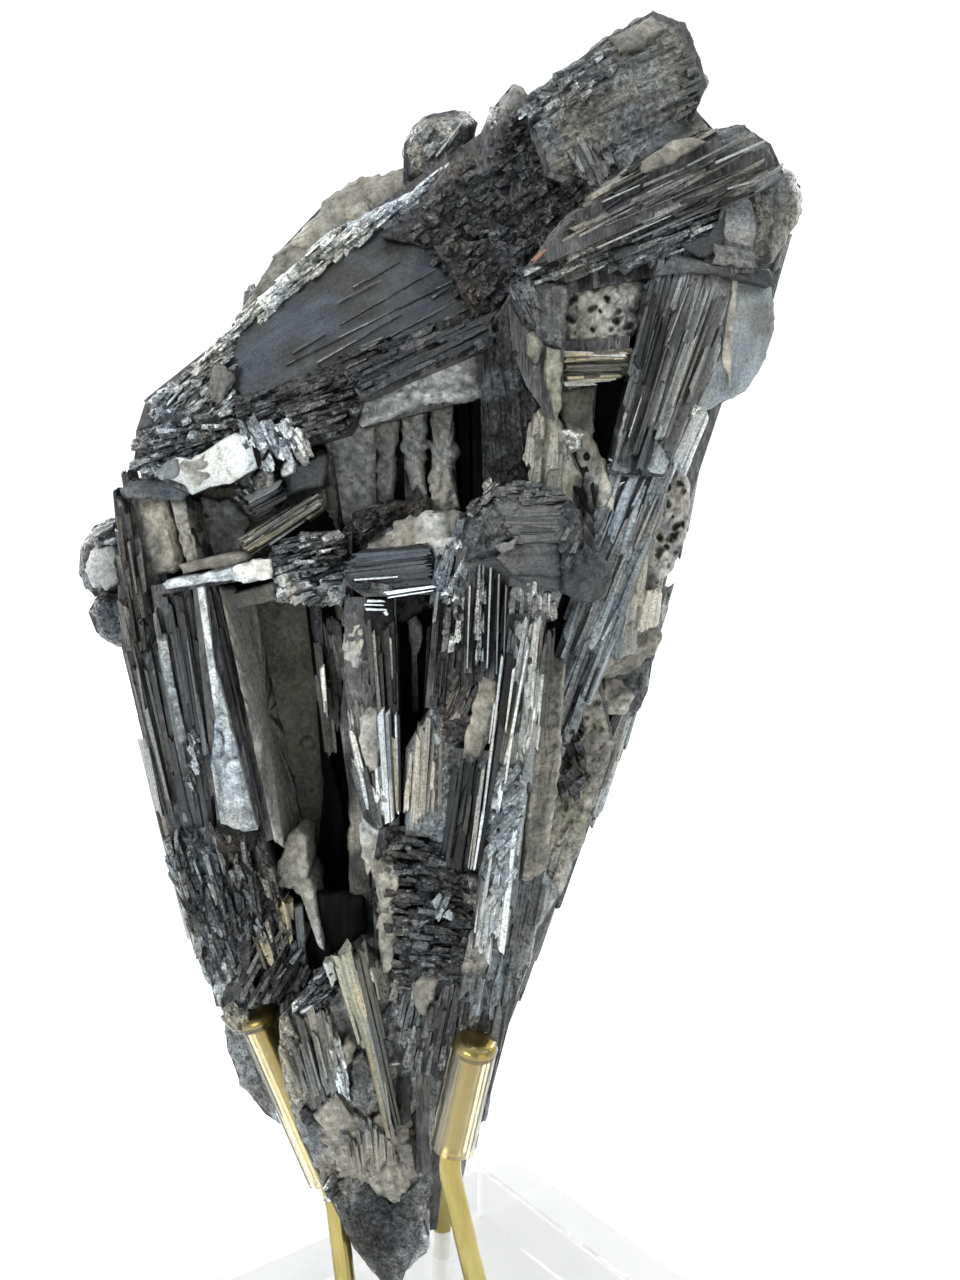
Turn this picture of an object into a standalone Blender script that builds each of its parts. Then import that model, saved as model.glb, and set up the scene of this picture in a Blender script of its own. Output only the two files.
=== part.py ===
"""Stibnite crystal cluster held upright by three sleeved brass rods in a clear acrylic base.

All sizes are in millimetres and are turned into metres by MM. +Z is up, the front of the cluster
faces -Y, and the origin is the middle of the base's underside.
"""

import math

import bmesh
import bpy
from mathutils import Matrix, Vector

MM = 0.001
GAP = 0.3

BASE_SIDE = 75.0
BASE_HEIGHT = 20.0
BASE_TURN = 37.0
BASE_EDGE = 0.8

ROD_DIAMETER = 3.5
ROD_SIDES = 16
SOCKET_DEPTH = 12.0
SOCKET_MOUTH = 5.0
ROD_STRAIGHT = 2.0
BEND_REACH = 3.0
BEND_STEPS = 5
SLEEVE_START = 3.5
SLEEVE_DIAMETER = 7.0
SLEEVE_SIDES = 20
CAP_STEPS = 5
SHARP_ANGLE = 40.0
EDGE_STEPS = 2

# The cluster is drawn as it looks from EYE, on the upright plane y = 0. A drawn point (x, z) with a
# depth y lies on the line of sight through (x, 0, z), so nearer forms come out smaller than drawn.
EYE = Vector((7.4, -208.6, 168.0))

# Each form is a flat-faced block: its front face as drawn points (x, z), "depth" as the y of the middle
# of that face and how much y changes per drawn mm to the right and upwards, and "thick" as how far it
# reaches back. "shrink" is the size of the back face against the front one, BACK_SHRINK when not given.
BACK_SHRINK = 0.9
LOWER_FORMS = {
    "front wedge": dict(
        front=[(-28, 71), (-19, 81), (-13, 84.5), (-5, 77), (0, 66), (-1, 50), (-1.5, 40), (-4, 27),
               (-8, 18.5),
               (-11, 21), (-15.5, 27), (-20, 38), (-25, 49), (-28, 62)],
        depth=(-20.5, 0, -0.2), thick=2, shrink=1),
    "wedge body": dict(
        front=[(-22, 80), (-13, 84), (-4, 77), (0, 66), (-1, 50), (-1.5, 40), (-4, 27), (-8, 20),
               (-9.5, 24),
               (-12, 36), (-17.5, 52), (-21, 66)],
        depth=(-18, 0, -0.2), thick=26, shrink=0.55),
    "wedge gold blade": dict(
        front=[(-18, 82), (-14, 84.3), (-9.5, 62), (-6, 47), (-8, 46), (-13, 60)],
        depth=(-24.2, 0, -0.2), thick=8),
    "wedge left blade": dict(
        front=[(-25.5, 71), (-22.5, 73), (-17, 56), (-19, 54)], depth=(-23.8, 0, -0.2), thick=6),
    "wedge right blade": dict(
        front=[(-8, 74), (-5, 75), (-5, 52), (-7, 50)], depth=(-24.3, 0, -0.2), thick=6),
    "tip chunk": dict(
        front=[(-6, 33), (-3, 34), (-1.8, 30), (-2.5, 26), (-6, 24)],
        depth=(-13, 0, 0), thick=10, shrink=0.7),
    "left lobe": dict(
        front=[(-38, 74), (-31, 80), (-22, 76), (-20, 56), (-25.5, 49.5), (-31, 53), (-35.5, 59.5),
               (-37.5, 66)],
        depth=(-8, 0, 0), thick=24, shrink=0.8),
    "right foot": dict(
        front=[(-4, 76), (5, 82), (14.5, 78), (11, 72.5), (10, 66), (9, 55.5), (4.5, 46), (0, 40.5),
               (-4, 42)],
        depth=(-25, 0.1, -0.15), thick=32, shrink=0.8),
    "back foot": dict(
        front=[(-36, 74), (-22, 86), (0, 88), (12, 77), (8, 56), (3, 45), (-2, 36), (-8, 22), (-13, 26),
               (-22, 42),
               (-30, 55)],
        depth=(-3, 0, 0.2), thick=14, shrink=0.65),
}

LEFT_FORMS = {
    "outer rail": dict(
        front=[(-53.5, 148), (-48.5, 150), (-45, 122), (-40, 92), (-34, 76), (-38, 73), (-41, 80),
               (-44, 92),
               (-47.5, 106), (-49.8, 120), (-53, 137)],
        depth=(-17, 0.1, 0), thick=30),
    "grey rail": dict(
        front=[(-48, 148), (-41.5, 148), (-37, 121), (-34, 104), (-36, 92), (-40, 92), (-44.5, 115)],
        depth=(-21, 0.1, 0), thick=22),
    "bright rail": dict(
        front=[(-41, 148), (-38, 147), (-36, 133), (-33, 117), (-30.5, 106.5), (-38, 106.5), (-39, 125)],
        depth=(-23.5, 0, 0), thick=14),
    "thin rail": dict(
        front=[(-39.3, 148.5), (-36.8, 148), (-28, 104), (-30.5, 103)], depth=(-22, 0, 0), thick=20),
    "rail rib 1": dict(
        front=[(-51, 146), (-49.8, 146), (-42, 96), (-43.5, 96)], depth=(-19, 0, 0), thick=6),
    "rail rib 2": dict(
        front=[(-46.5, 146), (-45.3, 146), (-38.5, 106), (-40, 106)], depth=(-22.3, 0, 0), thick=6),
    "rail rib 3": dict(
        front=[(-43.8, 146), (-42.8, 146), (-39, 120), (-40, 119)], depth=(-22.6, 0, 0), thick=6),
    "rough rail": dict(
        front=[(-47.3, 104), (-30, 106), (-27, 92), (-27.5, 83), (-34, 79.5), (-39.5, 77), (-42, 82),
               (-45, 94)],
        depth=(-20, 0, -0.05), thick=28),
    "gold blades": dict(
        front=[(-32, 88), (-27, 92), (-23, 84), (-23, 76), (-28, 74), (-33, 78)],
        depth=(-7, 0, 0), thick=18),
    "outer post": dict(
        front=[(-53.7, 163), (-50, 166), (-46.5, 164), (-45, 146), (-49, 136), (-52.5, 137), (-52.8, 150)],
        depth=(-19, 0.1, 0), thick=28),
    "left lobe plate": dict(
        front=[(-60, 150), (-59.5, 154.5), (-57, 158), (-51.5, 160), (-50, 150), (-52, 147), (-57.5, 146)],
        depth=(-8, 0.15, 0), thick=20, shrink=0.75),
    "left knob": dict(
        front=[(-58.7, 143.5), (-56.5, 147), (-51, 146), (-50, 139), (-54, 137.5), (-57.5, 140)],
        depth=(-10, 0, 0), thick=16, shrink=0.7),
    "box ledge": dict(
        front=[(-47, 148), (-41, 149.5), (-34, 151.5), (-28, 152.5), (-27, 150), (-34, 148.5),
               (-46, 146.5)],
        depth=(-24, 0, 0), thick=30),
    "box wall": dict(
        front=[(-49, 167), (-30, 170), (-17, 170), (-15, 155), (-28, 149), (-47, 147)],
        depth=(-7, 0, 0), thick=30),
    "box plates": dict(
        front=[(-48.5, 164), (-44, 163.5), (-41.5, 151), (-47, 149)], depth=(-15, 0, 0), thick=14),
    "box rib": dict(
        front=[(-45, 162.5), (-41.5, 162.5), (-38.5, 151), (-42, 150)], depth=(-17, 0, 0), thick=14),
    "box stub": dict(
        front=[(-33.5, 164), (-30, 166.5), (-26, 164), (-28.5, 159.5), (-31.5, 160)],
        depth=(-21, 0, 0), thick=20),
    "box blade": dict(
        front=[(-33, 155), (-31, 153), (-18, 161), (-18.5, 164)], depth=(-15, 0, 0), thick=14),
    "box plate": dict(
        front=[(-26.5, 167.5), (-19, 170.5), (-17.5, 164.5), (-25, 163)], depth=(-12, 0, 0), thick=14),
    "box roof": dict(
        front=[(-50.3, 167.5), (-49, 174), (-36, 178), (-19, 178), (-16, 173.5), (-30, 169), (-40, 166)],
        depth=(-20, 0, -0.3), thick=28),
    "pale plate": dict(
        front=[(-45.5, 165.5), (-41, 168.5), (-31.5, 173.5), (-29, 169.5), (-31, 166), (-41, 163.3)],
        depth=(-24.5, -0.1, 0.2), thick=12),
    "left end": dict(
        front=[(-47.5, 179), (-42, 181.5), (-37, 187), (-30, 191), (-30, 176), (-38, 168), (-50, 167.5),
               (-49.5, 173.5)],
        depth=(-15, -0.25, 0.3), thick=24),
}

CREST_FORMS = {
    "crest face": dict(
        front=[(-36, 184), (-32, 189.5), (-22, 197.5), (-10, 206), (1, 211), (14, 202), (11, 190),
               (6, 187),
               (-5.5, 185.5), (-14, 182), (-22, 178.5), (-29, 176)],
        depth=(-16, 0, 0.45), thick=22),
    "crest step": dict(
        front=[(-31, 186.5), (-13, 195), (9, 199.5), (9, 196), (-12, 190.5), (-28, 182.5)],
        depth=(-16.9, 0, 0.45), thick=6),
    "crest lower step": dict(
        front=[(-22, 182), (-6, 189), (11, 192.5), (10, 189), (-5, 185.5), (-20, 179.5)],
        depth=(-20, 0, 0.45), thick=6),
    "left ridge": dict(
        front=[(-46, 179), (-40, 183.5), (-30, 193), (-17, 204.5), (-9, 206.5), (-22, 196), (-34, 183.5)],
        depth=(-8, 0, 0.5), thick=20),
    "right ridge": dict(
        front=[(-18, 203.5), (-1, 212.5), (2.5, 216), (14, 225), (12, 217), (2, 209), (-10, 204.5)],
        depth=(-5, 0, 0.45), thick=20),
    "crest foot": dict(
        front=[(-34, 179), (-14, 184), (-12, 177.5), (-15, 173), (-22, 171), (-32, 172)],
        depth=(-22, 0, 0), thick=24),
    "crest lip": dict(
        front=[(-15, 183), (-4, 188), (9, 192), (9.5, 187.5), (1, 185.5), (-12, 178.5)],
        depth=(-25, 0, 0.2), thick=20),
    "dark crest": dict(
        front=[(-1, 212), (2.5, 216), (14, 225), (23, 224), (24, 213), (20, 203), (13, 199), (2, 203)],
        depth=(-9, 0.1, 0.35), thick=22),
    "crown": dict(
        front=[(14, 225.5), (20, 229.5), (28, 235.3), (34.7, 239), (40, 237), (42.5, 231.5), (43.5, 228),
               (41.5, 223),
               (35.5, 217), (26, 211), (18, 214)],
        depth=(-8, 0.1, 0.3), thick=24, shrink=0.8),
    "crown flank": dict(
        front=[(33, 226), (41, 225), (44.2, 220.5), (40, 216), (30, 215)], depth=(-6, 0, 0), thick=20),
    "crest knob": dict(
        front=[(-4.8, 219), (-1, 223.3), (3.5, 224.2), (6.8, 222), (5, 216), (0, 211), (-5, 213)],
        depth=(2, 0, 0), thick=16, shrink=0.7),
    "small knob": dict(
        front=[(8.5, 222.5), (9.5, 224.5), (12.5, 228), (15, 226.5), (13, 219)], depth=(0, 0, 0), thick=9),
    "back druse": dict(
        front=[(-31, 193), (-26, 201.5), (-21.5, 205.5), (-17, 210.5), (-10.5, 213.5), (-3, 215.5),
               (0, 209),
               (-20, 190)],
        depth=(5, 0, 0.3), thick=18, shrink=0.8),
    "shoulder": dict(
        front=[(14.5, 199.5), (20.5, 207), (30, 215), (42.5, 221), (49.5, 221.7), (54, 219), (56.5, 214),
               (49.5, 210), (33.5, 204)],
        depth=(-18.5, 0.12, 0), thick=22),
    "shoulder blade 1": dict(
        front=[(22, 208), (45, 220), (47, 218), (24, 205.5)], depth=(-20.5, 0.12, 0), thick=8),
    "shoulder blade 2": dict(
        front=[(30, 209.5), (53, 218.5), (55, 216), (32, 207)], depth=(-19.2, 0.12, 0), thick=8),
    "shoulder blade 3": dict(
        front=[(17, 203), (38, 211), (39, 209), (18.5, 200.5)], depth=(-21.7, 0.12, 0), thick=8),
    "shoulder foot": dict(
        front=[(13.5, 199.5), (33.5, 206), (47, 211), (47, 200.5), (36, 200.5), (22, 199), (13, 194)],
        depth=(-18, 0.05, 0), thick=24),
    "right lobe": dict(
        front=[(51, 212), (55.5, 215.5), (59, 212.5), (59.2, 208.5), (57, 204), (54.8, 200.5), (49, 202)],
        depth=(-9, 0.1, 0), thick=20, shrink=0.8),
    "tall block": dict(
        front=[(46, 210.5), (50.5, 211), (52.5, 206), (51.5, 201.5), (46, 204)],
        depth=(-19, 0, 0), thick=18),
    "low block": dict(front=[(43.5, 205), (51.5, 203), (52, 199), (44, 199)], depth=(-20, 0, 0), thick=18),
}

RIGHT_FORMS = {
    "ribbed fan": dict(
        front=[(36, 201), (46, 200.5), (48.5, 197.5), (47, 186), (42, 175), (38, 166), (29, 166.5),
               (31.5, 178.5),
               (33.5, 189)],
        depth=(-20, 0.2, 0), thick=24),
    "fan rib 1": dict(
        front=[(37.5, 200.3), (39, 200.5), (32.3, 167.5), (30.8, 167.5)], depth=(-22, 0.2, 0), thick=8),
    "fan rib 2": dict(
        front=[(41, 200.5), (42.3, 200.5), (35.6, 168), (34.2, 168)], depth=(-21.2, 0.2, 0), thick=8),
    "fan rib 3": dict(
        front=[(44.6, 200), (45.8, 199.5), (39.2, 172), (38, 171)], depth=(-20.5, 0.2, 0), thick=8),
    "smooth fan": dict(
        front=[(47.5, 199), (54.8, 197), (55.5, 190), (54, 185), (51, 180), (45.5, 177.3), (42, 177),
               (45, 190)],
        depth=(-15, 0.3, 0), thick=20),
    "fan foot": dict(
        front=[(46, 178), (42.3, 172.5), (40.3, 167), (34, 166), (39, 178)],
        depth=(-13, 0.1, 0), thick=18),
    "flank": dict(
        front=[(28.5, 168), (40, 169), (37, 158), (33, 146), (28, 132), (21, 118), (16, 120), (21, 138),
               (26, 152)],
        depth=(-19, 0.15, 0), thick=26),
    "lower flank": dict(
        front=[(16, 130), (26, 131), (29.5, 118), (27, 110.5), (25.5, 104.5), (21.5, 94.5), (16, 85),
               (9, 86),
               (10, 110)],
        depth=(-19, 0.25, 0), thick=30),
    "right heel": dict(
        front=[(8, 106), (18, 99), (21, 94), (18, 88.5), (15.3, 84), (14.5, 77.5), (11, 72), (3, 70),
               (3, 92)],
        depth=(-24, 0.3, 0), thick=32),
    "right druse": dict(
        front=[(34, 168.5), (40, 169), (42.2, 163), (41.8, 157.5), (39.8, 151), (37, 148), (31, 150),
               (31, 160)],
        depth=(-10, 0.15, 0), thick=24, shrink=0.8),
    "right plates": dict(
        front=[(28, 153), (36.5, 150), (37.2, 147), (38.2, 141.5), (37, 137), (32, 132), (26, 133),
               (27, 145)],
        depth=(-12, 0.15, 0), thick=26),
    "right chunk": dict(
        front=[(30, 138), (37, 137.5), (36, 130), (34.5, 126.5), (31, 124.2), (26, 124)],
        depth=(-5, 0.1, 0), thick=20),
    "tan matrix": dict(
        front=[(19, 134), (28, 132), (30.3, 121), (27, 111), (25, 104), (17, 98), (15, 115)],
        depth=(-18, 0.3, 0),
        thick=28),
}

CENTRE_FORMS = {
    "tower head": dict(
        front=[(4, 158), (10, 164.3), (20.5, 164.3), (24, 160.5), (25, 155), (28.5, 152), (27, 146),
               (20, 147),
               (3, 149)],
        depth=(-31, 0.05, 0), thick=26),
    "black column": dict(
        front=[(0.5, 153), (5.5, 154), (5, 140), (2, 127), (-2, 127), (-0.5, 140)],
        depth=(-28.5, 0, 0), thick=20),
    "striped column": dict(
        front=[(5, 152), (12.5, 152), (12, 140), (10.5, 130), (3, 131), (5, 140)],
        depth=(-30.5, 0, 0), thick=20),
    "pale column": dict(
        front=[(12, 151), (21.5, 151), (20, 142), (12.5, 140)], depth=(-29.5, 0, 0), thick=18),
    "silver column": dict(
        front=[(12, 143), (18.5, 143.5), (17, 124), (14, 103), (11.5, 84), (6, 84), (8, 106), (10, 126)],
        depth=(-31.5, 0, 0), thick=24),
    "tower rib 1": dict(front=[(5.5, 151), (7, 151), (6, 133), (4.6, 133)], depth=(-31.8, 0, 0), thick=8),
    "tower rib 2": dict(
        front=[(8.8, 151), (10.3, 151), (9.8, 132), (8.4, 132)], depth=(-31.8, 0, 0), thick=8),
    "silver rib": dict(
        front=[(13.3, 142), (15, 142), (12.5, 102), (9.5, 86), (8, 86.5)], depth=(-32.8, 0, 0), thick=8),
    "tan column": dict(
        front=[(17, 137), (21.5, 135), (20.5, 115), (18, 98), (13, 96), (15, 118)],
        depth=(-27.5, 0, 0), thick=22),
    "dark slab": dict(
        front=[(3, 120), (9, 119.5), (7.5, 100), (1.5, 100)], depth=(-30, 0, 0), thick=16),
    "grey column": dict(
        front=[(-5.3, 120), (-1, 127), (4, 121), (3, 104), (-5.5, 104.5)], depth=(-28, 0, 0), thick=20),
    "layered mass": dict(
        front=[(-10, 106), (2, 106.5), (8, 101), (8, 84), (4, 75), (-8, 74), (-11, 84), (-11.5, 98)],
        depth=(-25, 0, 0), thick=26),
    "waist": dict(front=[(-9, 80), (8, 84), (10, 72), (2, 60), (-5, 62)], depth=(-26, 0, 0), thick=24),
    "fang": dict(
        front=[(-15.5, 146), (-6.8, 146), (-6.5, 125), (-7.2, 110), (-10, 105.3), (-12.8, 111),
               (-15.5, 130)],
        depth=(-26, 0, 0), thick=16),
    "slit wall": dict(
        front=[(-14.5, 118), (-8, 112), (-6, 84), (-13, 82), (-14, 100)], depth=(-13, 0, 0), thick=24),
    "rough shelf": dict(
        front=[(-27.5, 154.5), (-21, 156), (-14, 157), (-14.5, 145), (-20, 144.5), (-26, 145.5)],
        depth=(-24, 0, 0), thick=26),
    "dark shelf": dict(
        front=[(-15.5, 157), (-12, 161.3), (-2, 162), (-1, 157), (-8, 152), (-15, 151)],
        depth=(-18, 0, 0), thick=24),
    "druse shelf": dict(
        front=[(-13, 154.5), (-8, 157.5), (0, 160.5), (5, 160), (6, 150), (-2, 147), (-13, 150)],
        depth=(-21.5, 0, 0), thick=26),
    "slate prism": dict(
        front=[(-15.5, 150.5), (-12.5, 153.5), (-1.3, 155), (0.5, 150), (0.3, 146.5), (-12, 146),
               (-15, 148)],
        depth=(-28, 0, 0), thick=14),
    "shelf strut": dict(
        front=[(-16, 148), (-7, 148), (-6.8, 142), (-16, 141)], depth=(-24, 0, 0), thick=20),
    "druse beam": dict(
        front=[(-13, 178.5), (-9, 182), (1, 187), (9, 188), (9.5, 179.5), (0, 178), (-8, 175.3),
               (-12.5, 174)],
        depth=(-17, 0, 0), thick=24),
    "window wall": dict(
        front=[(-19, 176), (2, 181), (2.5, 160), (-17, 156)], depth=(-4, 0, 0), thick=26),
    "first rib": dict(
        front=[(-9.8, 177), (-6.8, 177), (-7, 160), (-10, 160)], depth=(-7.5, 0, 0), thick=12),
    "second rib": dict(
        front=[(-5.5, 177.5), (-1.5, 178), (-2, 160), (-5, 160)], depth=(-8.5, 0, 0), thick=12),
    "third rib": dict(
        front=[(-0.5, 179), (2.8, 179), (3.6, 163), (3, 159), (-0.8, 159)], depth=(-10, 0, 0), thick=14),
    "window blade": dict(
        front=[(8, 189), (12.5, 196), (18, 179), (16, 161), (11, 160), (8, 163), (7.5, 178)],
        depth=(-21, 0.1, 0), thick=16),
    "leaf blade": dict(
        front=[(12, 194), (21.5, 195.5), (21, 178), (19.5, 174.5), (15, 181), (12.5, 187)],
        depth=(-22.5, 0, 0), thick=14),
    "pitted druse": dict(
        front=[(20, 196), (22, 201), (36, 202.5), (34.5, 196), (33.5, 190), (24, 186.5), (20, 188)],
        depth=(-15, 0, 0), thick=22),
    "barred prism": dict(
        front=[(20, 188), (32, 189), (31.5, 183.5), (20.5, 181.5)], depth=(-18, 0, 0), thick=18),
    "window plate": dict(
        front=[(20, 183), (26.7, 182.5), (26, 170), (20, 170)], depth=(-12, 0, 0), thick=20),
    "left leaf": dict(
        front=[(14, 176), (19.5, 177), (24.5, 166), (23, 158), (15, 158), (14, 166)],
        depth=(-21, 0, 0), thick=20),
    "right leaf": dict(
        front=[(21, 175), (25.3, 173.5), (30, 163.5), (30, 153), (23, 155), (22, 166)],
        depth=(-18.5, 0, 0), thick=20),
}

CORE_FORMS = {
    "upper core": dict(
        front=[(-42, 179), (-28, 193), (-8, 208), (12, 221), (36, 230), (52, 214), (51, 184), (37, 166),
               (-46, 167)],
        depth=(4, 0, -0.1), thick=20, shrink=0.85),
    "deep core": dict(
        front=[(-47, 168), (38, 168), (33, 130), (22, 100), (10, 80), (-12, 72), (-35, 80), (-44, 104),
               (-48, 132)],
        depth=(8, 0, 0.15), thick=11),
    "cavity wall": dict(
        front=[(-47, 149), (-22.5, 149), (-21, 120), (-22, 98), (-26, 82), (-38, 80), (-45, 105)],
        depth=(4, 0, 0), thick=16),
    "tower core": dict(
        front=[(0, 160), (30, 161), (33, 146), (26, 118), (15, 88), (0, 76), (-11, 84), (-8, 104),
               (0, 128)],
        depth=(-12, 0, 0), thick=34),
    "pale splinter": dict(
        front=[(-27, 103), (-23.5, 105), (-21.5, 96), (-20, 84), (-24, 88), (-29, 96)],
        depth=(-5, 0, 0), thick=20),
    "cavity floor": dict(
        front=[(-28, 90), (-20, 84), (-11, 86), (-10, 74), (-28, 72)], depth=(-18, 0, 0), thick=34),
}

# Each blade is a six-sided prism from "foot" to "head", drawn points with a depth (x, z, y), "wide"
# across and "deep" front to back. It starts at BLADE_FOOT of that size, is full from BLADE_FULL of its
# length on, and closes to a chisel end of CHISEL_SIZE over the last CHISEL_PART.
BACK_BLADES = {
    "back blade 1": dict(foot=(-12, 42, 5), head=(-36, 158, 22), wide=18, deep=15),
    "back blade 2": dict(foot=(-9, 30, 3), head=(-19, 180, 27), wide=17, deep=16),
    "back blade 3": dict(foot=(-5, 32, 4), head=(2, 194, 28), wide=20, deep=15),
    "back blade 4": dict(foot=(-1, 44, 6), head=(23, 178, 26), wide=17, deep=16),
    "back blade 5": dict(foot=(-24, 58, 5), head=(-47, 140, 13), wide=12, deep=18),
    "back blade 6": dict(foot=(-18, 148, 25), head=(18, 222, 16), wide=20, deep=18),
    "back blade 7": dict(foot=(4, 146, 27), head=(40, 217, 13), wide=18, deep=20),
    "back blade 8": dict(foot=(-34, 128, 21), head=(-24, 198, 16), wide=18, deep=17),
    "back blade 9": dict(foot=(6, 76, 10), head=(34, 162, 19), wide=14, deep=17),
    "back blade 10": dict(foot=(20, 150, 23), head=(50, 199, 9), wide=16, deep=17),
    "back blade 11": dict(foot=(-24, 96, 16), head=(-30, 186, 23), wide=12, deep=17),
    "back blade 12": dict(foot=(8, 104, 19), head=(10, 184, 30), wide=11, deep=14),
}
SIDE_BLADES = {
    "left side blade 1": dict(foot=(-30, 62, 2), head=(-49, 160, -2), wide=9, deep=18),
    "left side blade 2": dict(foot=(-26, 60, 8), head=(-47, 172, 10), wide=9, deep=16),
    "left side blade 3": dict(foot=(-40, 104, 6), head=(-40, 180, 4), wide=12, deep=16),
    "right side blade 1": dict(foot=(6, 60, -6), head=(33, 152, -2), wide=9, deep=18),
    "right side blade 2": dict(foot=(6, 66, 6), head=(35, 164, 8), wide=9, deep=16),
    "right side blade 3": dict(foot=(28, 136, 0), head=(51, 210, 2), wide=12, deep=18),
}
BLADE_FOOT = 0.55
BLADE_FULL = 0.35
CHISEL_PART = 0.12
CHISEL_SIZE = 0.35

# Each prong is a brass rod given by where it enters the base, its bend and its upper end.
PRONGS = {
    "front_right": dict(base=(11.0, -29.8), bend=(2.4, -27.8, 60.0), top=(6.6, -30.3, 80.5)),
    "front_left": dict(base=(-14.4, -15.5), bend=(-17.4, -11.5, 45.0), top=(-29.4, -12.4, 76.8)),
    "back": dict(base=(0.0, 17.0), bend=(-1.5, 16.2, 50.0), top=(-1.5, 24.6, 80.0)),
}


def clear_scene():
    """Remove everything that is in the file's scene."""
    for item in list(bpy.data.objects):
        bpy.data.objects.remove(item, do_unlink=True)


def make_material(name, colour, metallic, roughness, transmission=0.0, ior=1.5):
    """A Principled material with plain values."""
    material = bpy.data.materials.new(name)
    material.use_nodes = True
    shader = material.node_tree.nodes["Principled BSDF"]
    shader.inputs["Base Color"].default_value = (*colour, 1.0)
    shader.inputs["Metallic"].default_value = metallic
    shader.inputs["Roughness"].default_value = roughness
    shader.inputs["Transmission Weight"].default_value = transmission
    shader.inputs["IOR"].default_value = ior
    material.diffuse_color = (*colour, 1.0)
    return material


def add_object(name, mesh, material=None):
    """Link a mesh into the scene as an object of its own."""
    item = bpy.data.objects.new(name, mesh)
    bpy.context.scene.collection.objects.link(item)
    if material is not None:
        mesh.materials.append(material)
    return item


def sight_point(x, z, y):
    """The drawn point (x, z) carried along its line of sight to depth y, in mm."""
    reach = (y - EYE.y) / -EYE.y
    return Vector((EYE.x + (x - EYE.x) * reach, y, EYE.z + (z - EYE.z) * reach))


def block_points(front, depth, thick, shrink=BACK_SHRINK):
    """Front and back corners of one form."""
    middle, across, upward = depth
    mean_x = sum(x for x, _ in front) / len(front)
    mean_z = sum(z for _, z in front) / len(front)
    near = [sight_point(x, z, middle + across * (x - mean_x) + upward * (z - mean_z)) for x, z in front]
    centre = sum(near, Vector()) / len(near)
    far = []
    for point in near:
        away = (point - centre) * shrink
        far.append(Vector((centre.x + away.x, point.y + thick, centre.z + away.z)))
    return near + far


def blade_points(foot, head, wide, deep):
    """Corners of a six-sided prism with a small foot and a chisel end."""
    low = sight_point(foot[0], foot[1], foot[2])
    high = sight_point(head[0], head[1], head[2])
    axis = (high - low).normalized()
    side = axis.cross(Vector((0, 1, 0))).normalized()
    back = side.cross(axis).normalized()
    points = []
    stages = ((0.0, BLADE_FOOT), (BLADE_FULL, 1.0), (1.0 - CHISEL_PART, 1.0), (1.0, CHISEL_SIZE))
    for share, size in stages:
        centre = low.lerp(high, share)
        for step in range(6):
            angle = math.radians(60 * step + 30)
            across = side * (math.cos(angle) * wide / 2)
            through = back * (math.sin(angle) * deep / 2)
            points.append(centre + (across + through) * size)
    return points


def hull_object(name, points):
    """The closed convex body through points given in mm."""
    body = bmesh.new()
    for point in points:
        body.verts.new(point * MM)
    found = bmesh.ops.convex_hull(body, input=body.verts)
    spare = {item for item in found["geom_interior"] if isinstance(item, bmesh.types.BMVert)}
    spare |= {item for item in found["geom_unused"] if isinstance(item, bmesh.types.BMVert)}
    bmesh.ops.delete(body, geom=list(spare), context="VERTS")
    bmesh.ops.recalc_face_normals(body, faces=body.faces)
    mesh = bpy.data.meshes.new(name)
    body.to_mesh(mesh)
    body.free()
    return add_object(name, mesh)


def outer_shell(mesh):
    """Drop the small sealed voids that forms leave between them, keeping the largest shell."""
    body = bmesh.new()
    body.from_mesh(mesh)
    left = set(body.verts)
    shells = []
    while left:
        found = {left.pop()}
        edge = list(found)
        while edge:
            corner = edge.pop()
            near = {link.other_vert(corner) for link in corner.link_edges} - found
            found |= near
            edge.extend(near)
        left -= found
        shells.append(found)
    largest = max(shells, key=len)
    spare = [vertex for shell in shells if shell is not largest for vertex in shell]
    bmesh.ops.delete(body, geom=spare, context="VERTS")
    body.to_mesh(mesh)
    body.free()


def join_solids(name, pieces, material):
    """One closed body from overlapping ones, joined one after another."""
    first = pieces[0]
    for piece in pieces[1:]:
        union = first.modifiers.new("join", "BOOLEAN")
        union.operation = "UNION"
        union.solver = "EXACT"
        union.object = piece
    bpy.context.view_layer.update()
    shape = bpy.data.meshes.new_from_object(first.evaluated_get(bpy.context.evaluated_depsgraph_get()))
    for piece in pieces:
        bpy.data.objects.remove(piece, do_unlink=True)
    shape.name = name
    shape.materials.clear()
    outer_shell(shape)
    return add_object(name, shape, material)


def make_cluster(material):
    """The whole grown-together cluster as one solid."""
    pieces = []
    for forms in (CORE_FORMS, CREST_FORMS, CENTRE_FORMS, LEFT_FORMS, RIGHT_FORMS, LOWER_FORMS):
        for name, form in forms.items():
            pieces.append(hull_object(name, block_points(**form)))
    for name, blade in (BACK_BLADES | SIDE_BLADES).items():
        pieces.append(hull_object(name, blade_points(**blade)))
    return join_solids("stibnite_cluster", pieces, material)


def rod_route(prong):
    """Middle line of a rod: into its socket, round the bend, up to its end, in mm."""
    mouth = Vector((prong["base"][0], prong["base"][1], BASE_HEIGHT))
    bend = Vector(prong["bend"])
    top = Vector(prong["top"])
    rising = (bend - mouth).normalized()
    leaving = (top - bend).normalized()
    foot = Vector((mouth.x, mouth.y, BASE_HEIGHT - SOCKET_DEPTH + GAP))
    start = bend - rising * BEND_REACH
    end = bend + leaving * BEND_REACH
    route = [foot, mouth + Vector((0, 0, ROD_STRAIGHT))]
    for step in range(BEND_STEPS + 1):
        share = step / BEND_STEPS
        route.append(start.lerp(bend, share).lerp(bend.lerp(end, share), share))
    route.append(top)
    return route


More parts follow.
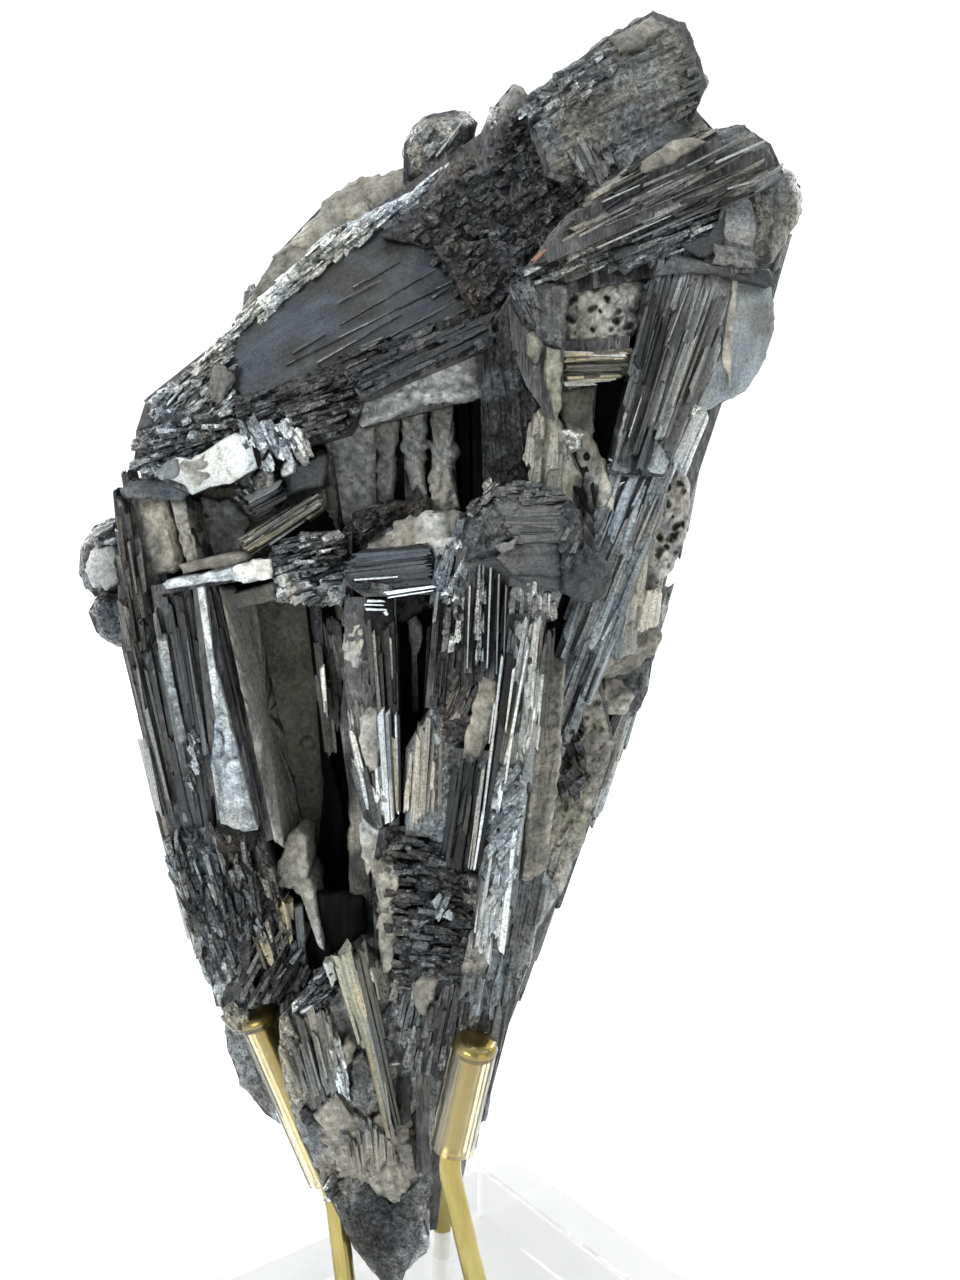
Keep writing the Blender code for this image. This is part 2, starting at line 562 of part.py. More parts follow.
def add_tube(name, rings, material):
    """Skin a closed body over rings of equal size, given in mm, with a flat face at each end."""
    count = len(rings[0])
    points = [point * MM for ring in rings for point in ring]
    faces = []
    for row in range(len(rings) - 1):
        for step in range(count):
            near = row * count + step
            following = row * count + (step + 1) % count
            faces.append((near, following, following + count, near + count))
    faces.append(tuple(reversed(range(count))))
    faces.append(tuple(range(len(points) - count, len(points))))
    mesh = bpy.data.meshes.new(name)
    mesh.from_pydata(points, [], faces)
    shell = bmesh.new()
    shell.from_mesh(mesh)
    bmesh.ops.recalc_face_normals(shell, faces=shell.faces)
    shell.to_mesh(mesh)
    shell.free()
    mesh.shade_smooth()
    mesh.set_sharp_from_angle(angle=math.radians(SHARP_ANGLE))
    return add_object(name, mesh, material)


def ring(centre, axis, radius, sides):
    """A circle of points round an axis."""
    turn = Vector((0, 0, 1)).rotation_difference(axis).to_matrix()
    points = []
    for step in range(sides):
        angle = 2 * math.pi * step / sides
        points.append(centre + turn @ Vector((radius * math.cos(angle), radius * math.sin(angle), 0)))
    return points


def make_rod(name, prong, material):
    """A bent round rod with flat ends."""
    route = rod_route(prong)
    rings = []
    for index, point in enumerate(route):
        before = route[max(index - 1, 0)]
        after = route[min(index + 1, len(route) - 1)]
        rings.append(ring(point, (after - before).normalized(), ROD_DIAMETER / 2, ROD_SIDES))
    return add_tube(name, rings, material)


def make_sleeve(name, prong, material):
    """A soft cap over the rod's upper end: open at its foot, closed and rounded at its top."""
    bend = Vector(prong["bend"])
    top = Vector(prong["top"])
    axis = (top - bend).normalized()
    foot = bend + axis * SLEEVE_START
    bore = ROD_DIAMETER / 2 + GAP
    outer = SLEEVE_DIAMETER / 2
    wall = outer - bore
    close = top + axis * GAP
    end = close + axis * wall
    profile = [(close, bore / 2), (close, bore), (foot, bore), (foot, outer)]
    for step in range(CAP_STEPS):
        angle = math.radians(90 * step / CAP_STEPS)
        profile.append((end - axis * (wall * (1 - math.sin(angle))), outer - wall * (1 - math.cos(angle))))
    profile.append((end, outer - wall))
    rings = [ring(centre, axis, radius, SLEEVE_SIDES) for centre, radius in profile]
    return add_tube(name, rings, material)


def make_base(material):
    """A square block standing on its underside, with a blind socket for each rod."""
    mesh = bpy.data.meshes.new("acrylic_base")
    block = bmesh.new()
    bmesh.ops.create_cube(block, size=1.0)
    bmesh.ops.scale(block, vec=Vector((BASE_SIDE, BASE_SIDE, BASE_HEIGHT)) * MM, verts=block.verts)
    bmesh.ops.translate(block, vec=Vector((0, 0, BASE_HEIGHT / 2)) * MM, verts=block.verts)
    bmesh.ops.rotate(block, matrix=Matrix.Rotation(math.radians(BASE_TURN), 3, "Z"), verts=block.verts)
    block.to_mesh(mesh)
    block.free()
    base = add_object("acrylic_base", mesh, material)
    edge = base.modifiers.new("edge", "BEVEL")
    edge.width = BASE_EDGE * MM
    edge.segments = EDGE_STEPS
    for name, prong in PRONGS.items():
        x, y = prong["base"]
        floor = Vector((x, y, BASE_HEIGHT - SOCKET_DEPTH))
        low = ring(floor, Vector((0, 0, 1)), ROD_DIAMETER / 2 + GAP, ROD_SIDES)
        high = [point + Vector((0, 0, SOCKET_DEPTH + SOCKET_MOUTH)) for point in low]
        cutter = add_tube(f"socket_{name}", [low, high], None)
        cutter.hide_render = True
        cutter.display_type = "WIRE"
        cut = base.modifiers.new(f"socket {name}", "BOOLEAN")
        cut.operation = "DIFFERENCE"
        cut.solver = "EXACT"
        cut.object = cutter
    return base


def main():
    clear_scene()
    stibnite = make_material("stibnite", (0.17, 0.18, 0.19), 0.8, 0.35)
    brass = make_material("brass", (0.72, 0.58, 0.28), 1.0, 0.25)
    vinyl = make_material("clear vinyl", (0.95, 0.93, 0.85), 0.0, 0.1, transmission=1.0, ior=1.5)
    acrylic = make_material("clear acrylic", (0.97, 0.98, 0.98), 0.0, 0.03, transmission=1.0, ior=1.49)
    make_cluster(stibnite)
    make_base(acrylic)
    for name, prong in PRONGS.items():
        make_rod(f"prong_{name}", prong, brass)
        make_sleeve(f"sleeve_{name}", prong, vinyl)


main()
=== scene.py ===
import itertools
import math
from functools import partial

import bpy
import numpy as np
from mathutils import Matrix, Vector


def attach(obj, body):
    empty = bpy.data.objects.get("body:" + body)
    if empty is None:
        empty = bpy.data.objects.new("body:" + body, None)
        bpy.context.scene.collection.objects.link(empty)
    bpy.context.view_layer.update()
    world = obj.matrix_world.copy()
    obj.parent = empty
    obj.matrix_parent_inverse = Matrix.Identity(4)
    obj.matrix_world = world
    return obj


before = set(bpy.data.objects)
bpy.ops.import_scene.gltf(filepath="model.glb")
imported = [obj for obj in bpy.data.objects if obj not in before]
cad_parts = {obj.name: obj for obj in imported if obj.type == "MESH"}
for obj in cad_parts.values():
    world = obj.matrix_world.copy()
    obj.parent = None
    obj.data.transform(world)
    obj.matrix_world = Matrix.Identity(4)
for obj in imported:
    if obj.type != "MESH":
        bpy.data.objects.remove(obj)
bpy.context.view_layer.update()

mm = 0.001
eye = np.array([7.4, -208.6, 168.0])  # the photograph's viewpoint in mm, where the layout below is drawn from

# tints of the finishes, as linear red, green and blue
tints = {
    "black": (0.008, 0.008, 0.008), "dark": (0.035, 0.036, 0.038), "slate": (0.050, 0.058, 0.064),
    "brown": (0.058, 0.052, 0.047), "ash": (0.088, 0.092, 0.092), "grey": (0.135, 0.142, 0.142),
    "olive": (0.15, 0.152, 0.137), "warm": (0.21, 0.205, 0.185), "blue": (0.21, 0.24, 0.255),
    "rust": (0.27, 0.15, 0.11), "moss": (0.27, 0.275, 0.215), "pink": (0.29, 0.28, 0.255),
    "tan": (0.31, 0.305, 0.265), "light": (0.35, 0.37, 0.365), "gold": (0.36, 0.33, 0.22),
    "sand": (0.44, 0.435, 0.39), "silver": (0.56, 0.59, 0.59), "white": (0.80, 0.83, 0.81),
}


class Value:
    # a socket with plain arithmetic: each operator adds one Math node
    def __init__(self, shader, socket):
        self.shader = shader
        self.socket = socket

    def maths(self, operation, *others):
        return self.shader.node("ShaderNodeMath", {"operation": operation}, dict(enumerate((self, *others))))

    def __add__(self, other):
        return self.maths("ADD", other)

    def __mul__(self, other):
        return self.maths("MULTIPLY", other)

    def __sub__(self, other):
        return self.maths("SUBTRACT", other)

    def __rsub__(self, other):
        return self * -1.0 + other

    __radd__ = __add__
    __rmul__ = __mul__

    def above(self, edge, width):
        # 0 below the edge, 1 above it, with a soft step of the given width
        return self.shader.node("ShaderNodeMapRange", {"interpolation_type": "SMOOTHSTEP"},
                                {"Value": self, "From Min": edge - width, "From Max": edge + width})

    def scaled(self, factor):
        # a colour or vector times a number
        return self.shader.node("ShaderNodeVectorMath", {"operation": "SCALE"}, {0: self, "Scale": factor})

    def mixed(self, other, factor, how="MIX"):
        # a colour blended with another one
        return self.shader.blend(self, other, factor, how)


class Shader:
    # one material or world; node() makes any node from its type, its settings and its sockets' values or links
    def __init__(self, owner, surface="Principled BSDF"):
        owner.use_nodes = True
        self.owner = owner
        self.tree = owner.node_tree
        self.surface = self.tree.nodes[surface]

    def node(self, kind, settings, sockets, out=0):
        made = self.tree.nodes.new(kind)
        for key, value in settings.items():
            setattr(made, key, value)
        for key, value in sockets.items():
            self.plug(made.inputs[key], value)
        return Value(self, made.outputs[out])

    def plug(self, target, value):
        if isinstance(value, Value):
            self.tree.links.new(value.socket, target)
        else:
            target.default_value = (*value, 1.0) if target.type == "RGBA" else value

    def set(self, **values):
        for key, value in values.items():
            self.plug(self.surface.inputs[key.replace("_", " ")], value)
        return self.owner

    def place(self, across, upwards=None):
        # object coordinates in mm times a scale, with another scale for the height where one is given
        spot = self.node("ShaderNodeTexCoord", {}, {}, out="Object")
        scale = (across / mm, across / mm, (upwards or across) / mm)
        return self.node("ShaderNodeMapping", {}, {"Vector": spot, "Scale": scale})

    def attribute(self, name, out="Vector"):
        return self.node("ShaderNodeAttribute", {"attribute_name": name}, {}, out=out)

    def part(self, vector, axis):
        return self.node("ShaderNodeSeparateXYZ", {}, {0: vector}, out=axis)

    def noise(self, vector, detail=3.0, rough=0.55):
        return self.node("ShaderNodeTexNoise", {}, {"Vector": vector, "Scale": 1.0, "Detail": detail,
                                                    "Roughness": rough})

    def cells(self, vector, out="Color"):
        return self.node("ShaderNodeTexVoronoi", {}, {"Vector": vector, "Scale": 1.0}, out=out)

    def blend(self, low, high, factor, how="MIX"):
        # one colour turning into the other as the factor goes from 0 to 1
        settings = {"data_type": "RGBA", "blend_type": how}
        return self.node("ShaderNodeMix", settings, {0: factor, 6: low, 7: high}, out=2)

    def straight(self):
        return self.node("ShaderNodeNewGeometry", {}, {}, out="Normal")

    def tilted(self, normal, cells, amount):
        # a surface direction turned at random in each cell by up to the given amount
        tilt = self.node("ShaderNodeVectorMath", {"operation": "SUBTRACT"}, {0: cells, 1: (0.5, 0.5, 0.5)})
        tilted = self.node("ShaderNodeVectorMath", {}, {0: tilt.scaled(amount), 1: normal})
        return self.node("ShaderNodeVectorMath", {"operation": "NORMALIZE"}, {0: tilted})

    def bump(self, height, strength, reach, normal=None):
        return self.node("ShaderNodeBump", {}, {"Height": height, "Strength": strength, "Distance": reach * mm,
                                                "Normal": normal or self.straight()})


def makeShader(name):
    return Shader(bpy.data.materials.new(name))


def makeCrystal():
    # bright sulphide faces. Colour is the piece's own tint times a tone, with a slow tarnish from cool to bronze.
    # The tone is 1, plus fine and broad streaks along the grain times the stripe value, plus grit, plus the tones
    # of two sizes of small facets, which the facet value makes stronger. The facets tilt at random, and the bump
    # is the fine streaks plus the grit.
    shader = makeShader("stibnite crystal")
    tint = shader.attribute("tint", "Color")
    grain = shader.attribute("grain")
    finish = shader.attribute("finish")
    rough, stripe, facet = (shader.part(finish, axis) for axis in "XYZ")
    fineLines = shader.node("ShaderNodeMapping", {}, {"Vector": grain, "Scale": (0.10, 4.5, 1.0)})
    broadLines = shader.node("ShaderNodeMapping", {}, {"Vector": grain, "Scale": (0.045, 1.3, 1.0)})
    streak = shader.noise(fineLines, detail=2.0)
    band = shader.noise(broadLines, detail=2.0)
    tarnish = shader.noise(shader.place(0.11, 0.07), detail=2.0)
    grit = shader.noise(shader.place(1.1), detail=6.0, rough=0.8)
    facets, fineFacets = shader.cells(shader.place(1.7)), shader.cells(shader.place(3.6))
    tone = ((streak - 0.5) * 1.1 + (band - 0.5) * 0.9) * stripe + 1.0
    tone = tone + (grit - 0.5) * (facet * 1.3 + 0.8) + (shader.part(facets, "Y") - 0.5) * facet * 1.1
    tone = tone + (shader.part(fineFacets, "Y") - 0.5) * (facet * 0.7 + 0.45)
    body = tint.scaled(tone.maths("MAXIMUM", 0.12))
    cool = body.mixed((0.94, 0.99, 1.05), 1.0, "MULTIPLY")
    bronze = body.mixed((1.04, 1.0, 0.93), 1.0, "MULTIPLY")
    tilt = shader.tilted(shader.straight(), facets, facet * 1.1 + 0.05)
    tilt = shader.tilted(tilt, fineFacets, facet * 0.7 + 0.1)
    return shader.set(Base_Color=cool.mixed(bronze, tarnish.above(0.5, 0.14)), Metallic=0.5,
                      Specular_IOR_Level=0.35, Roughness=rough + 0.04 + (grit - 0.5) * 0.25,
                      Normal=shader.bump(streak * stripe * 0.8 + grit * 1.2, 0.5, 0.25, tilt))


def makeDruse():
    # sugary quartz crust. Colour is the tint times a tone, a little warmer in patches, with painted shade: near-black
    # spots where the grit is high, standing for the shade in pores. The tone is 1 plus that of each grain, plus a
    # slow mottle, plus fine grit. The grains tilt at random, and the bump is rounded grains plus the grit.
    shader = makeShader("quartz druse")
    tint = shader.attribute("tint", "Color")
    grains = shader.cells(shader.place(1.5))
    hollows = shader.cells(shader.place(1.5), out="Distance")
    grainTone = shader.part(grains, "X") - 0.5
    mottle = shader.noise(shader.place(0.22), detail=5.0, rough=0.65)
    grit = shader.noise(shader.place(1.6), detail=6.0, rough=0.8)
    body = tint.scaled(grainTone * 0.5 + (mottle - 0.5) * 1.1 + (grit - 0.5) * 2.2 + 1.0)
    warm = body.mixed((1.03, 1.0, 0.94), 1.0, "MULTIPLY")
    # painted shade: the hue is pulled towards near-black where the grit is high, standing for shaded pores
    hue = body.mixed(warm, mottle.above(0.5, 0.1)).mixed((0.03, 0.028, 0.025), grit.above(0.61, 0.04) * 0.7)
    tilt = shader.tilted(shader.straight(), grains, 0.5)
    return shader.set(Base_Color=hue, Metallic=0.05, Roughness=0.62 - grainTone * 0.5,
                      Normal=shader.bump((1.0 - hollows) * 0.8 + grit * 2.2, 0.8, 0.4, tilt))


def makePaintedShade():
    # painted shade for the depths between crystals: matte near-black with faint streaks
    shader = makeShader("painted shade")
    streak = shader.noise(shader.place(0.7, 0.08))
    tint = shader.blend((0.002, 0.002, 0.002), (0.008, 0.008, 0.008), streak.above(0.55, 0.12))
    return shader.set(Base_Color=tint, Roughness=streak * 0.3 + 0.6, Specular_IOR_Level=0.1)


def makeCore():
    # the fused mass behind the crystals. Its grey goes by the tones of long rod-shaped cells and of small chips,
    # plus lengthwise streaks, with dull dust in patches. Rods and chips tilt at random, and the bump is the
    # streaks plus the patches.
    shader = makeShader("stibnite core")
    rods, chips = shader.cells(shader.place(0.4, 0.045)), shader.cells(shader.place(1.5, 0.9))
    streak = shader.noise(shader.place(1.6, 0.16), detail=5.0, rough=0.65)
    mottle = shader.noise(shader.place(0.5, 0.2), detail=5.0, rough=0.65)
    shade = (shader.part(rods, "X") + shader.part(chips, "Y")) * 0.3 + streak
    grey = shader.blend((0.026, 0.026, 0.029), (0.115, 0.12, 0.125), shade.above(0.85, 0.35))
    dusty = grey.mixed((0.14, 0.135, 0.122), mottle.above(0.56, 0.12) * 0.6)
    tilt = shader.tilted(shader.tilted(shader.straight(), rods, 0.8), chips, 0.6)
    return shader.set(Base_Color=dusty, Metallic=0.5, Roughness=mottle * 0.5 + 0.15,
                      Normal=shader.bump(streak + mottle, 0.8, 0.5, tilt))


def makeBrass():
    # drawn brass: a pale yellow that is duller in slow patches, times faint lengthwise drawing marks, which are
    # the bump too
    shader = makeShader("drawn brass")
    marks = shader.noise(shader.place(3.0, 0.12), detail=2.0)
    patches = shader.noise(shader.place(0.25, 0.12))
    tint = shader.blend((0.36, 0.30, 0.11), (0.28, 0.225, 0.07), patches.above(0.5, 0.2))
    return shader.set(Base_Color=tint.scaled(marks * 0.3 + 0.85), Metallic=0.85, Roughness=patches * 0.2 + 0.12,
                      Normal=shader.bump(marks, 0.15, 0.03))


def makeVinyl():
    # clear tubing with a slight amber cast and a soft, faintly scuffed skin
    shader = makeShader("clear vinyl")
    scuff = shader.noise(shader.place(1.2, 0.5))
    return shader.set(Base_Color=(0.80, 0.73, 0.46), Roughness=scuff * 0.12 + 0.03, Transmission_Weight=1.0,
                      IOR=1.55, Specular_IOR_Level=0.3, Alpha=0.92, Normal=shader.bump(scuff, 0.1, 0.05))


def makeAcrylic():
    # polished clear block with a faint waviness in the polish
    shader = makeShader("clear acrylic")
    wave = shader.noise(shader.place(0.06), detail=1.0)
    return shader.set(Base_Color=(0.86, 0.865, 0.86), Roughness=wave * 0.04, Transmission_Weight=1.0, IOR=1.45,
                      Alpha=0.8, Normal=shader.bump(wave, 0.05, 0.1))


finishes = {"crystal": makeCrystal(), "druse": makeDruse(), "void": makePaintedShade(), "brass": makeBrass()}
print("finishes made")


def lattice(cell, seed, primes=(73856093, 19349663, 83492791, 39916801, 1274126177), top=0xFFFFFF):
    # a fixed number from 0 to 1 for each whole-numbered cell, by mixing its three integers and the seed
    x, y, z = np.moveaxis(cell, -1, 0)
    mixed = (x * primes[0]) ^ (y * primes[1]) ^ (z * primes[2]) ^ (seed * primes[3])
    mixed = (mixed ^ (mixed >> 13)) * primes[4]
    return ((mixed ^ (mixed >> 16)) & top) / top


def smoothNoise(points, size, seed):
    # value noise: the eight lattice numbers round a point, blended smoothly
    scaled = points / size
    cell = np.floor(scaled).astype(np.int64)
    part = scaled - cell
    part = part * part * (3 - 2 * part)
    total = 0.0
    for corner in itertools.product((0, 1), repeat=3):
        weight = np.prod(np.where(corner, part, 1 - part), axis=-1)
        total = total + weight * lattice(cell + np.array(corner), seed)
    return total


def cellNoise(points, size, seed):
    # cell noise: how far the nearest scattered point is, and that point's own number
    scaled = points / size
    base = np.floor(scaled).astype(np.int64)
    nearest = np.full(points.shape[:-1], 9.0)
    owner = np.zeros(points.shape[:-1])
    for offset in itertools.product((-1, 0, 1), repeat=3):
        cell = base + np.array(offset)
        spot = cell + np.stack([lattice(cell, seed + step) for step in (1, 2, 3)], axis=-1)
        away = np.linalg.norm(scaled - spot, axis=-1)
        owner = np.where(away < nearest, lattice(cell, seed + 4), owner)
        nearest = np.minimum(nearest, away)
    return nearest, owner


def carry(x, z, y):
    # a drawn point (x, z) taken along its line of sight to depth y
    reach = (y - eye[1]) / -eye[1]
    return np.stack([eye[0] + (x - eye[0]) * reach, y + 0 * x, eye[2] + (z - eye[2]) * reach], axis=-1)


def unit(vectors):
    # each vector over its own length
    return vectors / np.maximum(np.linalg.norm(vectors, axis=-1, keepdims=True), 1e-9)


class Batch:
    # bodies that each are rings of points closed by a pole at either end, gathered for one mesh
    def __init__(self):
        self.parts = []

    def add(self, rings, poles, tint, grain, finish, material, smooth):
        # rings: bodies x rows x columns x 3, poles: bodies x 2 x 3; the other values follow the rings
        bodies, rows, columns = rings.shape[:3]

        def flat(values, ends):
            body = np.broadcast_to(values, (bodies, rows, columns, 3)).reshape(bodies, -1, 3)
            return np.concatenate([body, ends], axis=1).reshape(-1, 3)

        def spread(values):
            # each pole has the mean of its ring's values
            whole = np.broadcast_to(values, (bodies, rows, columns, 3))
            return flat(values, np.stack([whole[:, 0].mean(axis=1), whole[:, -1].mean(axis=1)], axis=1))

        points = flat(rings, poles).reshape(bodies, -1, 3)
        row, column = np.arange(rows - 1)[:, None] * columns, np.arange(columns)
        after = (column + 1) % columns
        quads = np.stack([row + column, row + after, row + columns + after, row + columns + column], axis=-1)
        quads = quads.reshape(-1, 4)
        last, pole = (rows - 1) * columns, np.full(columns, rows * columns)
        tris = np.concatenate([np.stack([after, column, pole], axis=-1),
                               np.stack([last + column, last + after, pole + 1], axis=-1)])
        # a body whose faces point inwards has a negative volume, and its faces are turned over
        corners, caps = points[:, quads], points[:, tris]
        across = np.cross(corners[:, :, 2] - corners[:, :, 0], corners[:, :, 3] - corners[:, :, 1])
        volume = (corners.mean(axis=2) * across).sum(axis=(1, 2))
        volume = volume + (caps[:, :, 0] * np.cross(caps[:, :, 1], caps[:, :, 2])).sum(axis=(1, 2)) / 3
        start = np.arange(bodies)[:, None, None] * (rows * columns + 2)
        turned = (volume < 0)[:, None, None]
        self.parts.append(dict(
            points=points.reshape(-1, 3), quads=np.where(turned, quads[None, :, ::-1], quads[None]) + start,
            tris=np.where(turned, tris[None, :, ::-1], tris[None]) + start, tint=spread(tint),
            grain=spread(grain), finish=spread(finish), material=material, smooth=smooth))

    def build(self, name):
        # one mesh object from all the parts, with its tint, grain and finish as attributes
        offset, faces, info = 0, {"quads": [], "tris": []}, {"quads": [], "tris": []}
        materials = sorted({part["material"] for part in self.parts})
        for part in self.parts:
            for kind, size in (("quads", 4), ("tris", 3)):
                faces[kind].append(part[kind].reshape(-1, size) + offset)
                row = (materials.index(part["material"]), part["smooth"])
                info[kind].append(np.broadcast_to(row, (len(faces[kind][-1]), 2)))
            offset += len(part["points"])
        quads, tris = np.concatenate(faces["quads"]), np.concatenate(faces["tris"])
        info = np.concatenate(info["quads"] + info["tris"])
        mesh = bpy.data.meshes.new(name)
        mesh.vertices.add(offset)
        mesh.loops.add(quads.size + tris.size)
        mesh.polygons.add(len(info))
        points = np.concatenate([part["points"] for part in self.parts]) * mm
        mesh.vertices.foreach_set("co", points.ravel().astype(np.float32))
        mesh.loops.foreach_set("vertex_index", np.concatenate([quads.ravel(), tris.ravel()]).astype(np.int32))
        starts = np.concatenate([np.arange(len(quads)) * 4, quads.size + np.arange(len(tris)) * 3])
        mesh.polygons.foreach_set("loop_start", starts.astype(np.int32))
        mesh.polygons.foreach_set("material_index", info[:, 0].astype(np.int32))
        mesh.polygons.foreach_set("use_smooth", info[:, 1].astype(bool))
        mesh.update(calc_edges=True)
        for key in ("tint", "grain", "finish"):
            values = np.concatenate([part[key] for part in self.parts])
            colour = key == "tint"
            if colour:
                values = np.concatenate([values, np.ones((len(values), 1))], axis=1)
            layer = mesh.attributes.new(key, "FLOAT_COLOR" if colour else "FLOAT_VECTOR", "POINT")
            layer.data.foreach_set("color" if colour else "vector", values.ravel().astype(np.float32))
        for material in materials:
            mesh.materials.append(finishes[material])
        piece = bpy.data.objects.new(name, mesh)
        bpy.context.scene.collection.objects.link(piece)
        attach(piece, "root")
        print(f"{name}: {len(quads) * 2 + len(tris)} triangles")


# the cross-section of a blade: corners (across, towards the back) and how many columns each side takes
section = dict(corners=((-0.72, -1.0), (0.74, -1.0), (1.0, -0.45), (0.8, 1.0), (-0.8, 1.0), (-1.0, -0.5)),
               columns=(12, 2, 3, 3, 3, 2))
# which of those columns and of its eight rows a blade keeps, by the mean width in mm of its bundle
fineness = ((2.4, [*range(13), 14, 17, 20, 23], [*range(8)]),
            (1.3, [*range(0, 15, 2), 17, 20, 23], [0, 2, 3, 4, 5, 7]),
            (0.0, [0, 4, 8, 12, 14, 17, 20, 23], [0, 2, 3, 4, 5, 7]))


def sectionPoints():
    # points evenly spaced along each side of the section
    corners = np.array(section["corners"])
    pieces = []
    for index, count in enumerate(section["columns"]):
        share = np.arange(count)[:, None] / count
        pieces.append(corners[index] * (1 - share) + corners[(index + 1) % len(corners)] * share)
    return np.concatenate(pieces)


def addBlades(batch, foot, head, wide, deep, spin, tint, outward, draw, ridge=0.16, jag=0.5, taper=0.8,
              finish=(0.3, 1.0, 0.25), material="crystal", stepRun=0.012, endRun=0.02):
    # long striated prisms: the cross-section carried from foot to head. The section has a ridge of its own
    # in each column all along, its sides step in at two places, and its ends are cut aslant and splintered.
    # The runs are shares of the length. Narrow blades then drop some columns and rows.
    count = len(foot)
    shape = sectionPoints()
    columns = len(shape)
    length = np.linalg.norm(head - foot, axis=-1)
    axis = unit(head - foot)
    front = unit(outward - (outward * axis).sum(-1, keepdims=True) * axis)
    side = np.cross(axis, front)
    across = side * np.cos(spin)[:, None] + front * np.sin(spin)[:, None]
    through = side * np.sin(spin)[:, None] - front * np.cos(spin)[:, None]  # away from the viewer
    steps = np.sort(draw.uniform(0.15, 0.85, (count, 2)), axis=1)
    share = np.stack([0 * length, endRun + 0 * length, steps[:, 0], steps[:, 0] + stepRun, steps[:, 1],
                      steps[:, 1] + stepRun, 1 - endRun + 0 * length, 1 + 0 * length], axis=1)
    inset = draw.uniform(0.8, 1.0, (count, 2, 3)).cumprod(axis=2)[:, :, [0, 0, 0, 1, 1, 2, 2, 2]]
    inset[:, :, 0] *= 0.97
    inset[:, :, -1] *= 0.93
    scale = np.where(shape[:, 0] < 0, inset[:, 0, :, None], inset[:, 1, :, None])
    narrow = 1 - (1 - taper) * share[:, :, None]
    groove = draw.uniform(-1, 1, (count, columns)) * (ridge * (wide / 12))[:, None]
    groove = np.where(shape[:, 1] < -0.9, groove, groove * 0.5)
    sideways = shape[:, 0] * scale * narrow * (wide / 2)[:, None, None]
    inwards = shape[:, 1] * narrow * (deep / 2)[:, None, None] + groove[:, None, :]
    tip = np.minimum(wide, length * 0.3)[:, None, None]
    ends = draw.uniform(-1, 1, (count, 2, columns)) * jag * tip * 0.5
    ends = ends + draw.uniform(-0.6, 0.6, (count, 2, 1)) * shape[:, 0] * tip
    shift = np.zeros(sideways.shape)
    shift[:, 0], shift[:, 1] = ends[:, 0], ends[:, 0] * 0.9
    shift[:, -1], shift[:, -2] = ends[:, 1], ends[:, 1] * 0.9
    along = share[:, :, None] * length[:, None, None] + shift
    rings = (foot[:, None, None] + axis[:, None, None] * along[..., None]
             + across[:, None, None] * sideways[..., None] + through[:, None, None] * inwards[..., None])
    poles = np.stack([rings[:, 0].mean(axis=1), rings[:, -1].mean(axis=1)], axis=1)
    girth = np.concatenate([[0], np.cumsum(np.linalg.norm(np.diff(shape, axis=0), axis=1))])
    grain = np.stack([along, np.broadcast_to((girth * wide[:, None] / 2)[:, None], along.shape),
                      np.broadcast_to(draw.uniform(0, 400, (count, 1, 1)), along.shape)], axis=-1)
    shade = 1 + draw.uniform(-0.15, 0.15, (count, 1, columns, 1))
    kept, keptRows = next(entry[1:] for entry in fineness if wide.mean() >= entry[0])
    rings, grain = rings[:, keptRows][:, :, kept], grain[:, keptRows][:, :, kept]
    batch.add(rings, poles, tint[:, None, None] * shade[:, :, kept], grain, np.array(finish), material, False)


def plane(outline, depth, x, z):
    # depth of a form's face: the depth at the outline's middle plus slopes to the right and upwards
    middle = outline.mean(axis=0)
    return depth[0] + depth[1] * (x - middle[0]) + depth[2] * (z - middle[1])


def pickTints(names, count, draw, spread=0.2):
    # a random tint from the named ones for each body, a little lighter or darker
    known = np.array([tints[name] for name in names])
    choice = known[draw.integers(0, len(names), count)] * 0.7 + known.mean(axis=0) * 0.3
    return choice * (1 + draw.uniform(-spread, spread, (count, 1)))


def lineSpans(outline, origin, direction):
    # where straight lines enter and leave an outline, as distances along each line
    edge = np.roll(outline, -1, axis=0) - outline
    gap = outline[None] - origin[:, None]
    turn = direction[:, None, 0] * edge[None, :, 1] - direction[:, None, 1] * edge[None, :, 0]
    turn = np.where(np.abs(turn) < 1e-9, 1e-9, turn)
    away = (gap[..., 0] * edge[None, :, 1] - gap[..., 1] * edge[None, :, 0]) / turn
    share = (gap[..., 0] * direction[:, None, 1] - gap[..., 1] * direction[:, None, 0]) / turn
    hit = (share >= 0) & (share <= 1)
    return np.where(hit, away, np.inf).min(axis=1), np.where(hit, away, -np.inf).max(axis=1)


def drawLines(outline, draw, space, wander, grain, focus):
    # lines over an outline, about a space apart, along one direction in degrees or out of a focus: where each
    # one starts and which way it runs
    if focus is None:
        heading = math.radians(grain)
        direction = np.array([math.cos(heading), math.sin(heading)])
        normal = np.array([-direction[1], direction[0]])
        low, high, reach = (outline @ normal).min(), (outline @ normal).max(), 1
    else:
        away = outline - np.array(focus)
        bearings = np.arctan2(away[:, 1], away[:, 0])
        low, high, reach = bearings.min(), bearings.max(), np.linalg.norm(away, axis=-1).max()
    count = max(2, int((high - low) * reach / space))
    place = low + (high - low) * (np.arange(count) + draw.uniform(0.2, 0.8, count)) / count
    if focus is None:
        origin = place[:, None] * normal + direction * (outline.mean(axis=0) @ direction)
        headings = heading + np.radians(draw.normal(0, wander, count) * 0.5)
    else:
        origin, headings = np.broadcast_to(np.array(focus, float), (count, 2)), place
    return origin, np.stack([np.cos(headings), np.sin(headings)], axis=-1)


